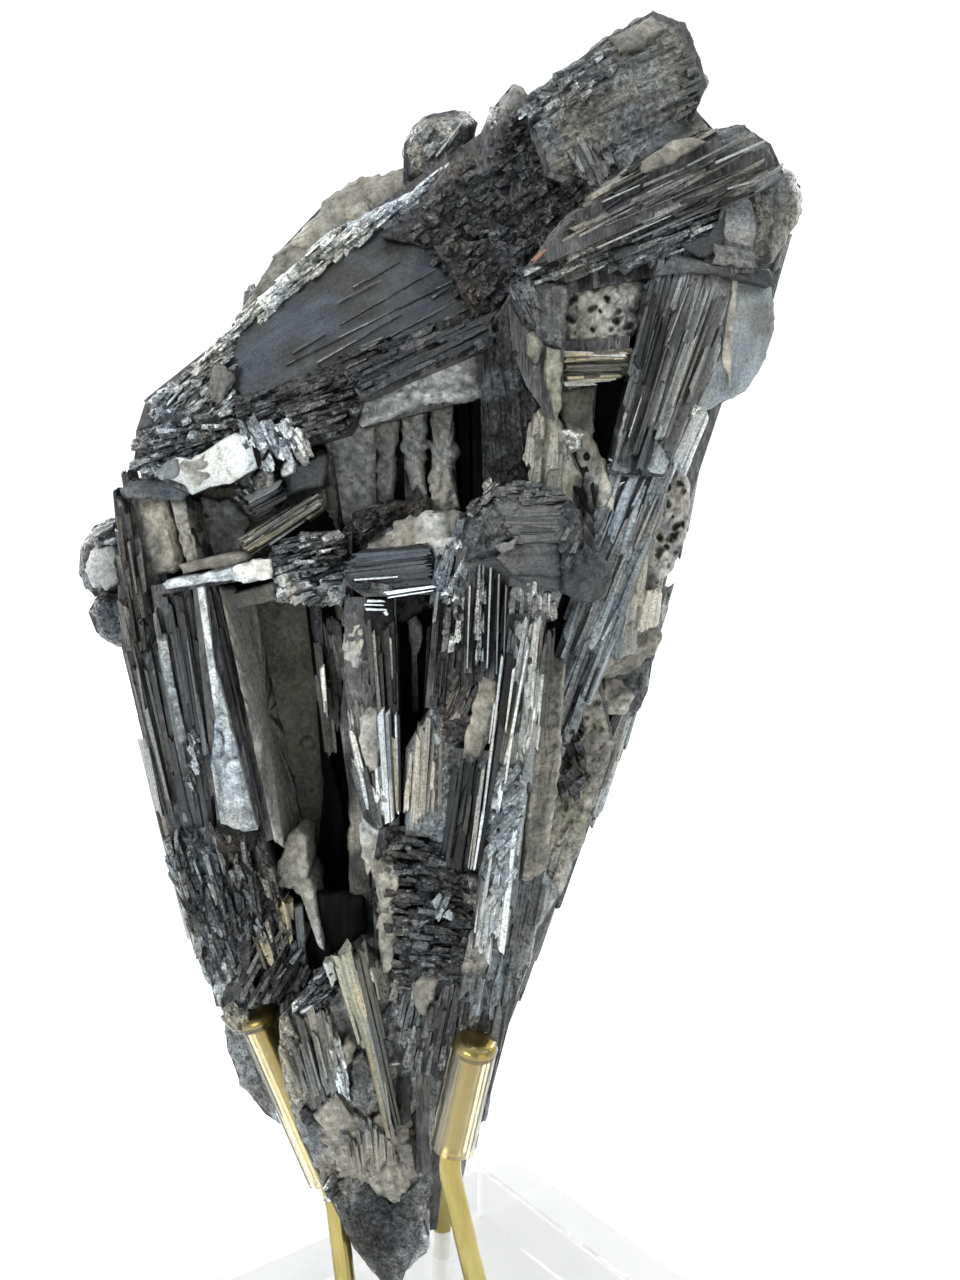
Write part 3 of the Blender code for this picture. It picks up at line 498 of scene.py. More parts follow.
def cutLines(origin, direction, near, far, draw, length, ragged):
    # the stretches of the lines that blades take: all between both ends less a ragged share or, with a length,
    # short ones anywhere between them, more of them on a longer line
    span = far - near
    if length is None:
        cut = span * draw.uniform(0, ragged, (2, len(span)))
        return origin, direction, near + cut[0], far - cut[1]
    most = max(1, int(np.ceil(span.max() / (sum(length) / 2) * 1.5)))
    pick = draw.uniform(0, 1, (len(span), most)) < (span / span.max())[:, None]
    centre = near[:, None] + span[:, None] * draw.uniform(0.02, 0.98, (len(span), most))
    half = draw.uniform(length[0] / 2, length[1] / 2, (len(span), most))
    low, high = np.maximum(centre - half, near[:, None])[pick], np.minimum(centre + half, far[:, None])[pick]
    origin, direction = (np.broadcast_to(given[:, None], (*pick.shape, 2))[pick] for given in (origin, direction))
    return origin, direction, low, high


def addBundle(batch, draw, front, depth, tint, grain=None, focus=None, wide=(0.5, 1.2), length=None, proud=0.9,
              tilt=0.35, cover=0.6, layers=2, deep=3, finish=(0.3, 1.0, 0.25), ridge=0.16, ragged=0.12,
              jag=0.5, wander=2.0, taper=0.85, keep=0.45):
    # fills an outline with blades that run along one direction, or through a focus, in layers that stand
    # prouder and narrower. With a length the blades are short and end anywhere along their line. The larger
    # the cover, the wider the blades are spaced.
    outline = np.array(front)
    for layer in range(layers):
        thinner = 1 + 0.6 * layer
        size = (wide[0] + wide[1]) * 0.7 / thinner
        origin, direction = drawLines(outline, draw, size * cover, wander, grain, focus)
        near, far = lineSpans(outline, origin, direction)
        good = np.isfinite(near) & np.isfinite(far) & (far - near > 0.6)
        if not good.any():
            continue
        origin, direction, low, high = cutLines(origin[good], direction[good], near[good], far[good], draw,
                                                length, ragged)
        if layer:
            kept = draw.uniform(0, 1, len(low)) < keep
            low, high, origin, direction = low[kept], high[kept], origin[kept], direction[kept]
            trim = (high - low) * draw.uniform(0, 0.4, (2, len(low)))
            low, high = low + trim[0], high - trim[1]
        count = len(low)
        if count == 0:
            continue
        feet, heads = origin + direction * low[:, None], origin + direction * high[:, None]
        width = draw.uniform(*wide, count) * 1.4 / thinner
        rise = proud * 0.75 * (draw.uniform(0, 1, count) + layer * 0.6)
        lean = draw.normal(0, tilt, (2, count))
        thick = deep * draw.uniform(0.7, 1.2, count)
        foot, head = (carry(*ends.T, plane(outline, depth, *ends.T) - rise + tip + thick / 2)
                      for ends, tip in ((feet, lean[0]), (heads, lean[1])))
        outward = unit(eye - (foot + head) / 2)
        addBlades(batch, foot, head, width, thick, draw.normal(0, 0.16, count), pickTints(tint, count, draw),
                  outward, draw, ridge, jag, taper, finish)


def addNeedles(batch, draw, front, depth, tint, wide=0.5, deep=2, finish=(0.25, 0.6, 0.1), spin=0.0,
               material="crystal"):
    # single thin blades, each drawn as x,z,x,z from end to end, with an optional width of its own
    ends = np.array([line[:4] for line in front])
    width = np.array([line[4] if len(line) > 4 else wide for line in front])
    level = np.full(len(ends), depth[0] + deep / 2)
    foot, head = carry(ends[:, 0], ends[:, 1], level), carry(ends[:, 2], ends[:, 3], level)
    addBlades(batch, foot, head, width, np.full(len(ends), deep), np.full(len(ends), spin),
              pickTints(tint, len(ends), draw, 0.1), unit(eye - (foot + head) / 2), draw, 0.2, 0.3, 0.9, finish,
              material)


def roughRim(outline, pitch, edge, seed):
    # points evenly spaced along an outline, from its middle, and the share that each is moved outwards or
    # inwards: value noise of two sizes
    lengths = np.linalg.norm(np.roll(outline, -1, axis=0) - outline, axis=1)
    columns = int(np.clip(lengths.sum() / pitch, 40, 420))
    reach = np.concatenate([[0], np.cumsum(lengths)])
    along = np.arange(columns) / columns * reach[-1]
    closed = np.concatenate([outline, outline[:1]])
    x, z = np.interp(along, reach, closed[:, 0]), np.interp(along, reach, closed[:, 1])
    points = np.stack([x, z, 0 * x], -1)
    ripple = smoothNoise(points, 1.6, seed) - 0.5
    ripple = ripple + (smoothNoise(points, 0.7, seed + 1) - 0.5) * 0.6
    middle = outline.mean(axis=0)
    outX, outZ = x - middle[0], z - middle[1]
    return outX, outZ, 1 + ripple * edge * 2 / np.maximum(np.hypot(outX, outZ), 1e-6)


def faceRelief(x, z, lengthwise, crosswise, seed, steps, stepSize, lumps, lumpSize, pits, cracks, swell):
    # height and tone over a face: a slow swell, plus terraces and ridges across the grain, plus rounded lumps
    # round scattered points, less pits, less cracks where two noises cross their middle. The tone is painted light
    # and shade that follow the height: lighter on raised terraces and lump tops, darker on low terraces, between
    # lumps, in pits and in cracks, with a random tone per lump besides.
    flat = np.stack([x, z, 0 * x], axis=-1)
    relief = swell * (smoothNoise(flat, 9.0, seed + 2) - 0.5)
    tone = np.ones_like(x)
    if steps:
        bands = np.stack([crosswise / stepSize, lengthwise / (stepSize * 14), 0 * x], axis=-1)
        ridges = np.floor(smoothNoise(bands, 1.0, seed + 3) * 5) / 5
        ridges = ridges + 0.35 * (smoothNoise(bands * 3.1, 1.0, seed + 4) - 0.5)
        relief = relief + steps * (ridges - 0.4)
        # painted light and shade: raised terraces lighter, low ones darker
        tone = tone + (ridges - 0.45) * 0.5
    if lumps:
        nearest, owner = cellNoise(flat + np.array([0, 0, 3.3]), lumpSize, seed + 5)
        small, _ = cellNoise(flat, lumpSize * 0.42, seed + 9)
        knobs = lumps * (1 - nearest) * (0.5 + owner) + lumps * 0.3 * (1 - small)
        relief = relief + knobs - knobs.mean()
        # painted shade between lumps and painted light on their tops, times a random tone per lump
        tone = tone * (1.3 - 0.8 * nearest ** 1.5) * (0.85 + 0.3 * owner)
    if pits:
        bent = flat + 0.9 * (smoothNoise(flat, 1.2, seed + 15)[..., None] - 0.5)
        hole, owner = cellNoise(bent, 1.8, seed + 14)
        hollow = np.clip(1 - hole / (0.2 + 0.3 * owner), 0, 1) ** 0.4 * (owner > 0.3)
        relief = relief - pits * hollow
        # painted shade in the pits
        tone = tone * (1 - 0.9 * hollow)
    if cracks:
        gap = np.abs(smoothNoise(flat, 5.5, seed + 17) - 0.5)
        gap = gap + np.abs(smoothNoise(flat, 2.0, seed + 18) - 0.5) * 0.12
        line = np.clip(1 - gap / 0.05, 0, 1)
        relief = relief - cracks * line
        # painted shade in the cracks
        tone = tone * (1 - 0.7 * line)
    return relief, tone


def patchTints(points, names, seed):
    # the named tints one after another as a slow value noise rises
    choice = np.array([tints[name] for name in names])
    blend = np.clip((smoothNoise(points, 5.0, seed) - 0.25) * 2, 0, 1) * (len(choice) - 1)
    low = np.floor(blend).astype(int).clip(0, len(choice) - 1)
    high = np.minimum(low + 1, len(choice) - 1)
    return choice[low] + (choice[high] - choice[low]) * (blend - low)[..., None]


def addSlab(batch, draw, front, depth, tint, thick=12, grain=90, steps=0, stepSize=1.5, lumps=0, lumpSize=2.5,
            dome=0, swell=0, rim=0.8, edge=0.35, pits=0, cracks=0, finish=(0.35, 1.0, 0.2),
            material="crystal", pitch=0.55, mottle=0.15, back=0.86):
    # a mass with a drawn outline: rings from its middle to a rough rim, then back round a wall that narrows.
    # Its face is a sloped plane plus a dome plus the relief, and it falls off at the rim.
    outline = np.array(front)
    middle = outline.mean(axis=0)
    seed = int(draw.integers(1, 10000))
    outX, outZ, grow = roughRim(outline, pitch, edge, seed)
    rows = int(np.clip(np.linalg.norm(outline - middle, axis=1).max() / pitch, 8, 90))
    share = np.linspace(0, 1, rows + 1)[1:, None]
    x, z = middle[0] + outX * share * grow, middle[1] + outZ * share * grow
    heading = math.radians(grain)
    lengthwise = x * math.cos(heading) + z * math.sin(heading)
    crosswise = -x * math.sin(heading) + z * math.cos(heading)
    relief, tone = faceRelief(x, z, lengthwise, crosswise, seed, steps, stepSize, lumps, lumpSize, pits, cracks,
                              swell)
    relief = (relief + dome * (1 - share ** 2.5)) * (1 - share ** 12) - rim * share ** 10
    face = carry(x, z, plane(outline, depth, x, z) - relief)
    wall = np.linspace(0, 1, max(3, int(thick / 2.2)) + 1)[1:, None]
    ring = face[-1][None] + np.array([0, 1, 0]) * thick * wall[..., None]
    hub = face[-1].mean(axis=0)
    squeeze = 1 - (1 - back) * wall
    rough = smoothNoise(ring, 2.4, seed + 21) - 0.5
    ring[..., 0] = hub[0] + (ring[..., 0] - hub[0]) * squeeze + rough * 0.8 * np.sign(ring[..., 0] - hub[0])
    ring[..., 2] = hub[2] + (ring[..., 2] - hub[2]) * squeeze
    rings = np.concatenate([face, ring])
    poles = np.stack([face[0].mean(axis=0), ring[-1].mean(axis=0)])
    # painted shade: the wall behind the face takes the rim's tone darkened to 0.8
    tone = np.concatenate([tone, np.broadcast_to(tone[-1] * 0.8, ring.shape[:2])])
    tone = tone * (1 + mottle * 2 * (smoothNoise(rings, 7.0, seed + 30) - 0.5))
    alongGrain = np.concatenate([lengthwise, np.broadcast_to(lengthwise[-1], ring.shape[:2]) + wall * thick])
    acrossGrain = np.concatenate([crosswise, np.broadcast_to(crosswise[-1], ring.shape[:2])])
    grainPoints = np.stack([alongGrain, acrossGrain, np.full_like(alongGrain, seed % 97)], axis=-1)
    colour = patchTints(rings, tint, seed + 31) * tone[..., None]
    batch.add(rings[None], poles[None], colour[None], grainPoints[None], np.array(finish), material, True)


def addSpray(batch, draw, outward, tint, finish, places, count=26):
    # each place is an oval column from foot to head; crystals lie round its outer half, leaning a little
    out = unit(np.array([*outward, 0.0]))
    for foot, head, wide, deep in places:
        low, high = (carry(*np.array(end, float)) for end in (foot, head))
        axis = unit(high - low)
        front = unit(out - (out * axis).sum() * axis)
        side = np.cross(axis, front)
        half = np.array([wide, deep] if abs(out[1]) >= abs(out[0]) else [deep, wide]) / 2
        angle = np.radians(draw.uniform(-95, 95, count))
        ring = side * np.sin(angle)[:, None] * half[0] + front * np.cos(angle)[:, None] * half[1]
        begin, end = draw.uniform(-0.02, 0.45, count), draw.uniform(0.6, 0.985, count)
        grown = 0.55 + 0.45 * np.clip(begin / 0.35, 0, 1)
        feet = low + (high - low) * begin[:, None] + ring * (grown * draw.uniform(0.86, 0.98, count))[:, None]
        heads = low + (high - low) * end[:, None] + ring * draw.uniform(0.8, 0.98, count)[:, None]
        width = draw.uniform(1.4, 4.2, count)
        addBlades(batch, feet, heads, width, width * draw.uniform(0.8, 1.3, count), draw.normal(0, 0.3, count),
                  pickTints(tint, count, draw), unit(ring), draw, 0.25, 0.5, 0.75, finish)


def form(maker, front, depth, tint="black", finish=None, **more):
    # one form of a region: its drawn points as "x,z x,z" in mm, the depth of its face, its tints, its finish as
    # (roughness, stripes, facets) and its maker's own values. The depth is y in mm, or (y, slope to the right,
    # slope upwards), or (another form's key, lift above that form's face).
    drawn = [[float(number) for number in spot.split(",")] for spot in front.split()]
    level = depth if isinstance(depth, tuple) else (depth, 0, 0)
    if finish:
        more["finish"] = finish
    return dict(maker=maker, front=drawn, depth=level, tint=tint.split(), **more)


slab = partial(form, addSlab)
crust = partial(form, addSlab, material="druse")
# painted shade: sheets in the near-black shade material, laid in hollows and gaps where shade falls
recess = partial(form, addSlab, material="void")
bundle = partial(form, addBundle)
grit = partial(form, addBundle, finish=(0.3, 0.6, 1), layers=1, cover=1, deep=1.2, tilt=0.7)
needles = partial(form, addNeedles)


def makePiece(name, seed, parts):
    # one named piece from its dictionary of forms
    draw = np.random.default_rng(seed)
    batch = Batch()
    for values in parts.values():
        values = dict(values)
        anchor, *lift = values.get("depth", (0,))
        if isinstance(anchor, str):
            under = parts[anchor]
            level = plane(np.array(under["front"]), under["depth"], *np.array(values["front"]).mean(axis=0))
            values["depth"] = (level - lift[0], *under["depth"][1:])
        values.pop("maker")(batch, draw, **values)
    batch.build(name)


# the upper left: a smooth dark face under a bright ridge, and a gritty dark slope on its right
crest = {
    "face": slab("-36,184 -32,189.5 -22,197.5 -10,206 1,211 14,202 11,190 6,187 -5.5,185.5 -14,182 -22,178.5 -29,176",
        (-17.7, 0, 0.45), "dark slate dark", (0.36, 0.8, 0.08), grain=28, steps=0.22, stepSize=1.8, thick=18,
        pitch=0.6, mottle=0.06),
    "scratches": bundle("-25,185.5 -9,200.6 2,201 7,197 -2,190.5 -16,184.2 -22,180.5", ("face", 0.3),
        "grey slate ash light dark", grain=28, wide=(0.12, 0.3), length=(2, 9), proud=0.2, deep=0.8, layers=1,
        cover=6, tilt=0.05),
    "streaks": bundle("-26,180.5 -12,187 6,193.5 11,193 10,188.5 -4,184.5 -14,181 -22,178", ("face", 0.4),
        "dark dark slate grey", (0.3, 1, 0.5), grain=24, wide=(0.4, 1.2), length=(2.5, 8), proud=1.2, deep=2.5,
        cover=0.55),
    "ridge": bundle("-40,182 -30,193.5 -17,204.8 -6,210.5 2.5,216 1,210.3 -10,205 -22,196.5 -33,187",
        ("ridgeBed", 0.2), "white blue silver light", (0.24, 0.8, 0.8), grain=40, wide=(0.5, 1.5), length=(2, 6),
        proud=1.2, layers=3, cover=0.5, tilt=0.4),
    "ridgeBed": slab("-40,182 -30,193.5 -17,205 -1,213 2.5,216.3 6,215 1,209 -10,204.5 -22,196 -33,186",
        (-11.3, 0.1, 0.3), "silver blue white", (0.25, 1, 1), grain=40, steps=0.4, stepSize=1, lumps=0.4,
        lumpSize=1.3, thick=14),
    "lip": bundle("-15,183 -4,188 9,192 9.5,188 1,186 -12,178.8", (-25.6, 0, 0.2), "dark slate dark", (0.3, 1, 0.4),
        grain=25, wide=(0.6, 1.8), length=(4, 14), proud=1, cover=0.5),
    "foot": slab("-34,179 -14,184 -12,177.5 -15,173 -22,171 -32,172", -22.6, "dark ash", (0.28, 1, 1), grain=15,
        steps=0.5, stepSize=1, lumps=0.8, lumpSize=1.6, thick=14),
    "footBlades": bundle("-33,179 -14,183.5 -12,177.5 -16,173 -24,171.5 -32,173", -23.2, "dark ash dark grey",
        (0.27, 1, 0.8), grain=18, wide=(0.5, 1.4), length=(2, 7), proud=1.6, deep=2.5, cover=0.7, tilt=0.5),
    "footShards": bundle("-32,174 -23,175 -21,169 -28,167 -31,169", -24.6, "white silver dark light",
        (0.24, 0.8, 0.6), grain=-65, wide=(0.7, 1.8), length=(2, 5), proud=1.4, deep=2.5, tilt=0.6),
    "dark": slab("-1,211.5 2.5,216 14,225.3 23,224 24,213 20,203 13,198.5 2,202.5 -9,204.5", (-9.9, 0.1, 0.35),
        "brown dark dark", (0.42, 0.5, 1), grain=30, lumps=0.55, lumpSize=1.2, steps=0.25, swell=1.4, thick=16,
        pitch=0.52, mottle=0.3),
    "darkFoot": slab("0,203 9,204.5 15,203 14.5,195 11,189 7,191 4,196", (-18.6, 0, 0.2), "dark brown",
        (0.36, 0.6, 1), grain=40, lumps=0.6, lumpSize=1.2, swell=1.2, thick=9, pitch=0.42),
    "darkGrit": grit("0,210.5 14,224 22,223 23,213 19,204 13,199.5 2,203 -7,205", ("dark", 0.1),
        "dark grey brown ash", grain=35, wide=(0.5, 1.3), length=(0.8, 2.4), proud=0.5, tilt=0.8),
    "footGrit": grit("1,203 9,204 14.5,203 14,195 11,190 7,192 5,196", ("darkFoot", 0.1), "ash dark brown", grain=40,
        length=(0.8, 2.2), proud=0.4, tilt=0.8),
    "faceGrit": grit("-3,204 4,203.5 9,197 11.5,190 8,189.5 4,195 0,200", ("face", 0.2), "dark ash slate brown",
        grain=35, length=(0.8, 2.4), proud=0.5),
    "ledge": bundle("-2,208 6,213.5 13,218 14,216.5 6,211.5 -1,206.5", ("dark", 0.4), "slate dark", (0.3, 1, 0.6),
        grain=32, length=(3, 9), proud=0.7, deep=2, layers=1, cover=0.9),
}

# the tip: olive and silver plates and small knobs, with the crust behind the ridge
crown = {
    "body": slab("14,225.5 20,229.7 28,235.5 34.7,239.2 40,237.2 42.5,231.5 43.7,228 41.5,223 35.5,217 26,211 18,214",
        (-8.8, 0.1, 0.3), "olive ash", (0.45, 0.7, 0.6), grain=24, steps=0.7, stepSize=0.7, lumps=0.5, lumpSize=1,
        dome=2, swell=1.5, thick=18, pitch=0.45, mottle=0.12, rim=2.2),
    "sandTop": crust("28,235 34.5,238.3 37,236.5 33,233.5 29,232.5", (-7.8, 0.1, 0.5), "olive warm", lumps=0.3,
        dome=1, thick=5, rim=1.5),
    "olivePlates": bundle("16,224 20,229.5 34,236 41,232 43,227 40,223 30,218 20,217", ("body", 0.8),
        "ash grey olive slate ash", (0.42, 1, 0.3), grain=24, wide=(0.5, 1.6), length=(2, 8), proud=0.7, deep=2.5,
        cover=0.7, tilt=0.3),
    "silverFoot": bundle("13,224 20,229.3 28,234.5 29,230 24,225 18,221", ("body", 0.9), "light grey silver grey ash",
        (0.26, 0.8, 0.9), grain=35, wide=(0.5, 1.5), length=(1.5, 4.5), proud=1.3, deep=2.5, tilt=0.6),
    "bluePatch": slab("27,225 33,226.5 40,224 42,220.5 36,217 30,214 24,212.5 21.5,219", ("body", 1.2),
        "slate grey ash", (0.4, 0.8, 0.5), grain=60, steps=0.5, stepSize=2.2, lumps=0.3, swell=1.2, thick=10,
        mottle=0.3),
    "bluePlates": bundle("21.5,219 25,219.5 29,216 27,211.5 23,212", ("body", 1.9), "slate grey ash", (0.3, 0.9, 0.3),
        grain=-60, wide=(0.7, 2), length=(3, 7), deep=2, cover=0.7),
    "flank": slab("33,226.3 41,225.3 44.3,220.7 40,216 30,215", -7, "warm grey", (0.4, 1, 0.4), grain=20, steps=0.5,
        lumps=0.4, thick=16),
    "knob": slab("-4.9,219 -3.5,221.5 -1,223.4 3.5,224.3 6,223.6 6.9,222 5,216 0,211 -5,213", 1.4, "grey warm dark",
        (0.2, 0.4, 1), grain=45, lumps=0.9, lumpSize=2.6, dome=3, rim=2.5),
    "knobLine": needles("0.3,217,5.8,223.9,0.45", -3, "sand"),
    "knobPlates": bundle("-4,216 -1,221.5 5,222 6.5,220 2,215", -1.6, "dark grey light", (0.16, 0.5, 0.6), grain=48,
        wide=(0.8, 2.2), length=(2, 4), proud=0.8, deep=2, layers=1, cover=0.7),
    "bodyGrit": grit("20.5,205 21,214 24,223 29,222 33,217 32,211 27,206", ("body", 0.1), "dark ash slate grey dark",
        grain=40, wide=(0.5, 1.3), length=(0.8, 2.6), proud=0.6, deep=1.4, finish=(0.3, 0.7, 1)),
    "smallKnob": crust("9.5,221.5 10.5,225.5 12.5,228.2 14.2,227.8 15.2,226 13.5,219.5", -0.8, "light warm",
        lumps=0.5, dome=1.2, thick=8, rim=1.4),
    "darkChip": slab("8.4,221.8 9,224.5 11.5,224.8 12.5,222 10,220", -2.6, "light grey", (0.3, 0.5, 1), lumps=0.5,
        thick=7),
    "backDruse": crust("-31.5,193 -28.5,198 -26,201.7 -21.5,205.7 -19.5,208 -17,210.8 -13,213.2 -10.5,213.8"
        " -3,215.8 3,216.5 9,219.8 12,221 0,209 -20,190", (2.6, 0, 0.3), "tan warm tan", lumps=1.2, lumpSize=4,
        swell=2, dome=1, thick=16, edge=0.6, rim=1.8),
}

# right of the tip: a sheaf of blades over a broken foot
shoulder = {
    "bed": slab("14.5,199.5 20.5,207 30,215 42.5,221 49.5,221.9 54,219.2 56.7,214 49.5,210 33.5,204",
        (-19.1, 0.12, 0), "warm grey dark", (0.36, 1, 0.3), grain=25, steps=0.8, stepSize=1.3, thick=18),
    "blades": bundle("15,200 21,207 30,215.2 42,221 49.5,222 54,219.3 56.7,214.2 49.5,210.3 33.5,204",
        (-19.6, 0.12, 0), "warm grey brown pink dark", (0.32, 1, 0.3), grain=26, wide=(0.4, 1.1), deep=3.5, layers=3,
        ragged=0.45, wander=4),
    "brightLines": needles("27,210,33,212.6,0.35 40.5,215.5,49.5,220,0.4 45,216,53,219.4,0.5"
        " 20.5,203.8,24.5,206,0.5 47,212,52,213.4,0.4", -22.6, "light grey"),
    "darkLines": needles("31,214.5,36.5,218.5,0.7 44,215.2,49,217.5,0.8 28,208.5,34,211.5,0.6 24.5,207,30,210.5,0.5"
        " 40,210,50,212.8,0.6 46,209.8,50.5,211.2,0.8", -22.4, "black dark"),
    "tanPatch": crust("32.5,216 36,218.6 41,220 43.5,219.2 38,216 34,214.5", (-22.2, 0.1, 0), "tan warm", lumps=0.4,
        thick=5),
    "rust": needles("15.8,200.6,18,202.6,0.9", -23.2, "rust"),
    "foot": slab("13.5,199.7 33.5,206 47,210.7 47,200.5 36,200.3 22,199 13,194", (-18.6, 0.05, 0), "dark grey olive",
        (0.34, 1, 0.9), grain=22, steps=0.7, stepSize=1.2, lumps=0.6, lumpSize=1.4, thick=18),
    "footBlades": bundle("14,199.5 33.5,206.5 46,209.5 45,203 36,200.5 22,198.5 13.5,194.5", (-19.4, 0.05, 0),
        "dark grey olive dark light", (0.3, 1, 0.8), grain=22, wide=(0.5, 1.6), length=(2, 7), proud=1.5, tilt=0.5),
    "footGap": slab("40,203.5 44.5,205 47,208.5 47,203 44,201.3 41,202", -20.9, "dark slate", (0.5, 0.3, 0.2),
        thick=3),
    "rightLobe": slab("50,212.5 53,214.5 55.5,215.7 57.5,214.5 59.2,212 59.5,208.5 57.2,204 54.8,200.5 49,202",
        (-12.5, 0.1, 0), "olive grey olive", (0.42, 0.7, 0.6), lumps=0.6, lumpSize=2.2, dome=2, swell=1, thick=16,
        rim=1.8),
    "tallBlock": slab("46.3,210.5 50.5,211 52.5,206 51.5,201.5 45.8,204", (-19.7, 0.1, 0), "grey warm",
        (0.38, 0.8, 0.3), grain=-8, steps=0.3, stepSize=1.4, thick=14, rim=0.5),
    "lowBlock": slab("45,203.8 51.8,202.4 52,199.6 45.2,200.4", (-20.8, 0.1, 0), "grey", (0.38, 0.9, 0.4), grain=-8,
        steps=0.4, stepSize=1.2, thick=14, rim=0.4),
}

# dark and pale ribs that spread upwards below the shoulder, beside a smooth face
fan = {
    "bed": slab("36,201 46,200.7 48.5,197.5 47,186 42,175 38,166 29,166.5 31.5,178.5 33.5,189", (-20.6, 0.2, 0),
        "light grey", (0.33, 1, 0.2), grain=73, steps=0.8, stepSize=1.2, thick=20),
    "darkRibs": bundle("34.5,197 36,200.8 41,200.8 36,172 34,166.5 29,166.8 31.5,178", ("bed", 0.3),
        "dark ash black slate", (0.3, 1, 0.15), focus=(11, 95), wide=(0.6, 1.8), proud=1.3, deep=3.5, layers=3,
        cover=0.55, ragged=0.3),
    "paleRibs": bundle("39.5,200 46.5,199.5 46.8,190 42,177 37,167 33.8,167", ("bed", 0.3),
        "grey blue light grey dark", (0.32, 1, 0.15), focus=(11, 95), wide=(0.8, 2.4), proud=1.1, deep=3.5, layers=3,
        ragged=0.25),
    "lines": needles("32,172.5,34,179,0.3 38.2,188,41.3,196.5,0.3", -24.4, "light grey"),
    "roof": slab("35.5,198.5 38.5,202 46,200.5 54.6,199.5 54.8,196.8 47,198.3 40,199", (-20.6, 0.25, 0),
        "dark ash dark", (0.4, 0.8, 0.3), grain=-15, steps=0.4),
    "smooth": slab("47.2,199 50,199.3 54.9,197.3 55.7,190 54.1,185 51,180 45.5,177.2 41.5,176.5 44.5,190",
        (-16.2, 0.3, 0), "blue blue grey", (0.42, 0.25, 0.1), grain=75, steps=0.15, stepSize=3, dome=0.8, swell=0.8,
        thick=16, mottle=0.12),
    "sandLine": crust("47.4,198.4 49.4,198.8 49.2,192 48.8,186.5 48.6,180.8 47.2,184.4 46.4,189.5 46.9,194",
        (-17.9, 0.3, 0), "tan sand", lumps=0.25, thick=3, edge=0.5, rim=0.4),
    "foot": bundle("46,178 42.3,172.5 40.3,167 34,166 39,178", (-17, 0.2, 0), "light silver", (0.38, 0.9, 0.3),
        grain=66, wide=(1, 2.6), deep=4, cover=0.55),
    "footChip": slab("40,178 42,178.6 44,177.4 42,175 40.4,173", -19.5, "silver light", (0.22, 0.4, 1), lumps=0.9,
        lumpSize=1.3, thick=4),
}

# the right edge from the fan down to the stand
flank = {
    "bed": slab("28.5,168 40,169 37,158 33,146 28,132 21,118 16,120 21,138 26,152", (-19.6, 0.15, 0), "grey blue",
        (0.38, 1, 0.3), grain=68, steps=0.8, thick=20),
    "blades": bundle("28.5,168 39.5,169 36.5,158 33,146 28,132 21,118 16,120 21,138 26,152", (-20.2, 0.15, 0),
        "grey blue light grey warm", (0.36, 1, 0.35), grain=69, wide=(0.7, 2.2), length=(8, 30), proud=1.5, deep=4,
        layers=3, cover=0.55, wander=5),
    "lowerBed": slab("14,130 26,131 29.6,118 27.2,110.5 25.7,104.5 21.6,94.5 16,85 9,86 10,110", (-19.8, 0.25, 0),
        "grey warm", (0.4, 1, 0.4), grain=75, steps=0.8, lumps=0.5, thick=24),
    "matrix": crust("18.5,136 22,133 27,131.5 30.4,121 27.2,111 25.2,104 17,97 14.5,115", (-19.6, 0.3, 0),
        "warm moss tan", lumps=1, lumpSize=1.6, pits=1, swell=1.6, thick=16, mottle=0.25),
    "matrixChips": bundle("20,131 25,130 26,118 24,111 19.5,112 20.5,121", (-21.2, 0.3, 0), "dark black slate grey",
        (0.3, 0.8, 0.8), grain=-72, wide=(0.7, 1.9), length=(1.5, 5), deep=2.2, layers=1, cover=0.75, tilt=0.5),
    "matrixBlades": bundle("16,134 20.5,134 19,115 17,98 13.5,97 15,116", (-25.4, 0.2, 0), "moss warm tan olive",
        (0.5, 0.7, 0.2), grain=83, wide=(1, 2.8), length=(8, 24)),
    "druse": crust("34,168.5 37,170 40,169.2 42.2,165 42.5,162 41.9,157.5 40,151 37,147.5 34,151 31,160",
        (-13.8, 0.15, 0), "sand light pink", lumps=1.2, lumpSize=1.9, pits=2.2, swell=2, dome=1.6, thick=18, rim=2,
        edge=0.5, pitch=0.4),
    "plates": crust("28,154 36.5,151 37.3,147 38.4,141.5 37.2,137 33.5,133 28,132 27,145", (-15.6, 0.15, 0),
        "moss tan grey", grain=80, steps=1.2, stepSize=3.2, lumps=0.7, swell=1.6, thick=20, edge=0.5, lumpSize=1.6),
    "plateBlades": bundle("29,156 35,153 37.5,142 36,136.5 30,136", (-17.8, 0.15, 0), "sand tan blue sand",
        (0.5, 0.6, 0.15), grain=82, wide=(1.4, 3.2), length=(4, 12), proud=1, layers=1, cover=0.8),
    "chunk": slab("30,138 34,137.4 37.1,137.5 36.1,130 34.6,126.5 31,124.1 27,124", (-9.8, 0.1, 0), "grey dark",
        (0.5, 0.6, 0.6), lumps=1, lumpSize=3, thick=16, edge=0.5),
    "chunkDruse": crust("28.5,133 31.5,132 33.5,129 32.5,126 29,125.6 27.6,129", (-14.5, 0.1, 0), "warm sand grey",
        lumps=1.2, lumpSize=1.4, thick=10),
    "heel": slab("8,106 18,99 21.2,94 18.1,88.5 15.4,84 14.6,77.5 11,72 3,70 3,92", (-24.9, 0.3, 0), "grey blue warm",
        (0.42, 1, 0.35), grain=78, steps=0.8, lumps=0.4, thick=26),
    "heelBlades": bundle("9,106 17.5,99 20.8,94.3 15.3,84.3 14.5,77.6 11,72.5 4.5,72", (-25.6, 0.3, 0),
        "grey blue ash", (0.4, 1, 0.35), grain=79, wide=(0.7, 2.4), length=(5, 18), proud=1.2, deep=3.5, cover=0.55),
}

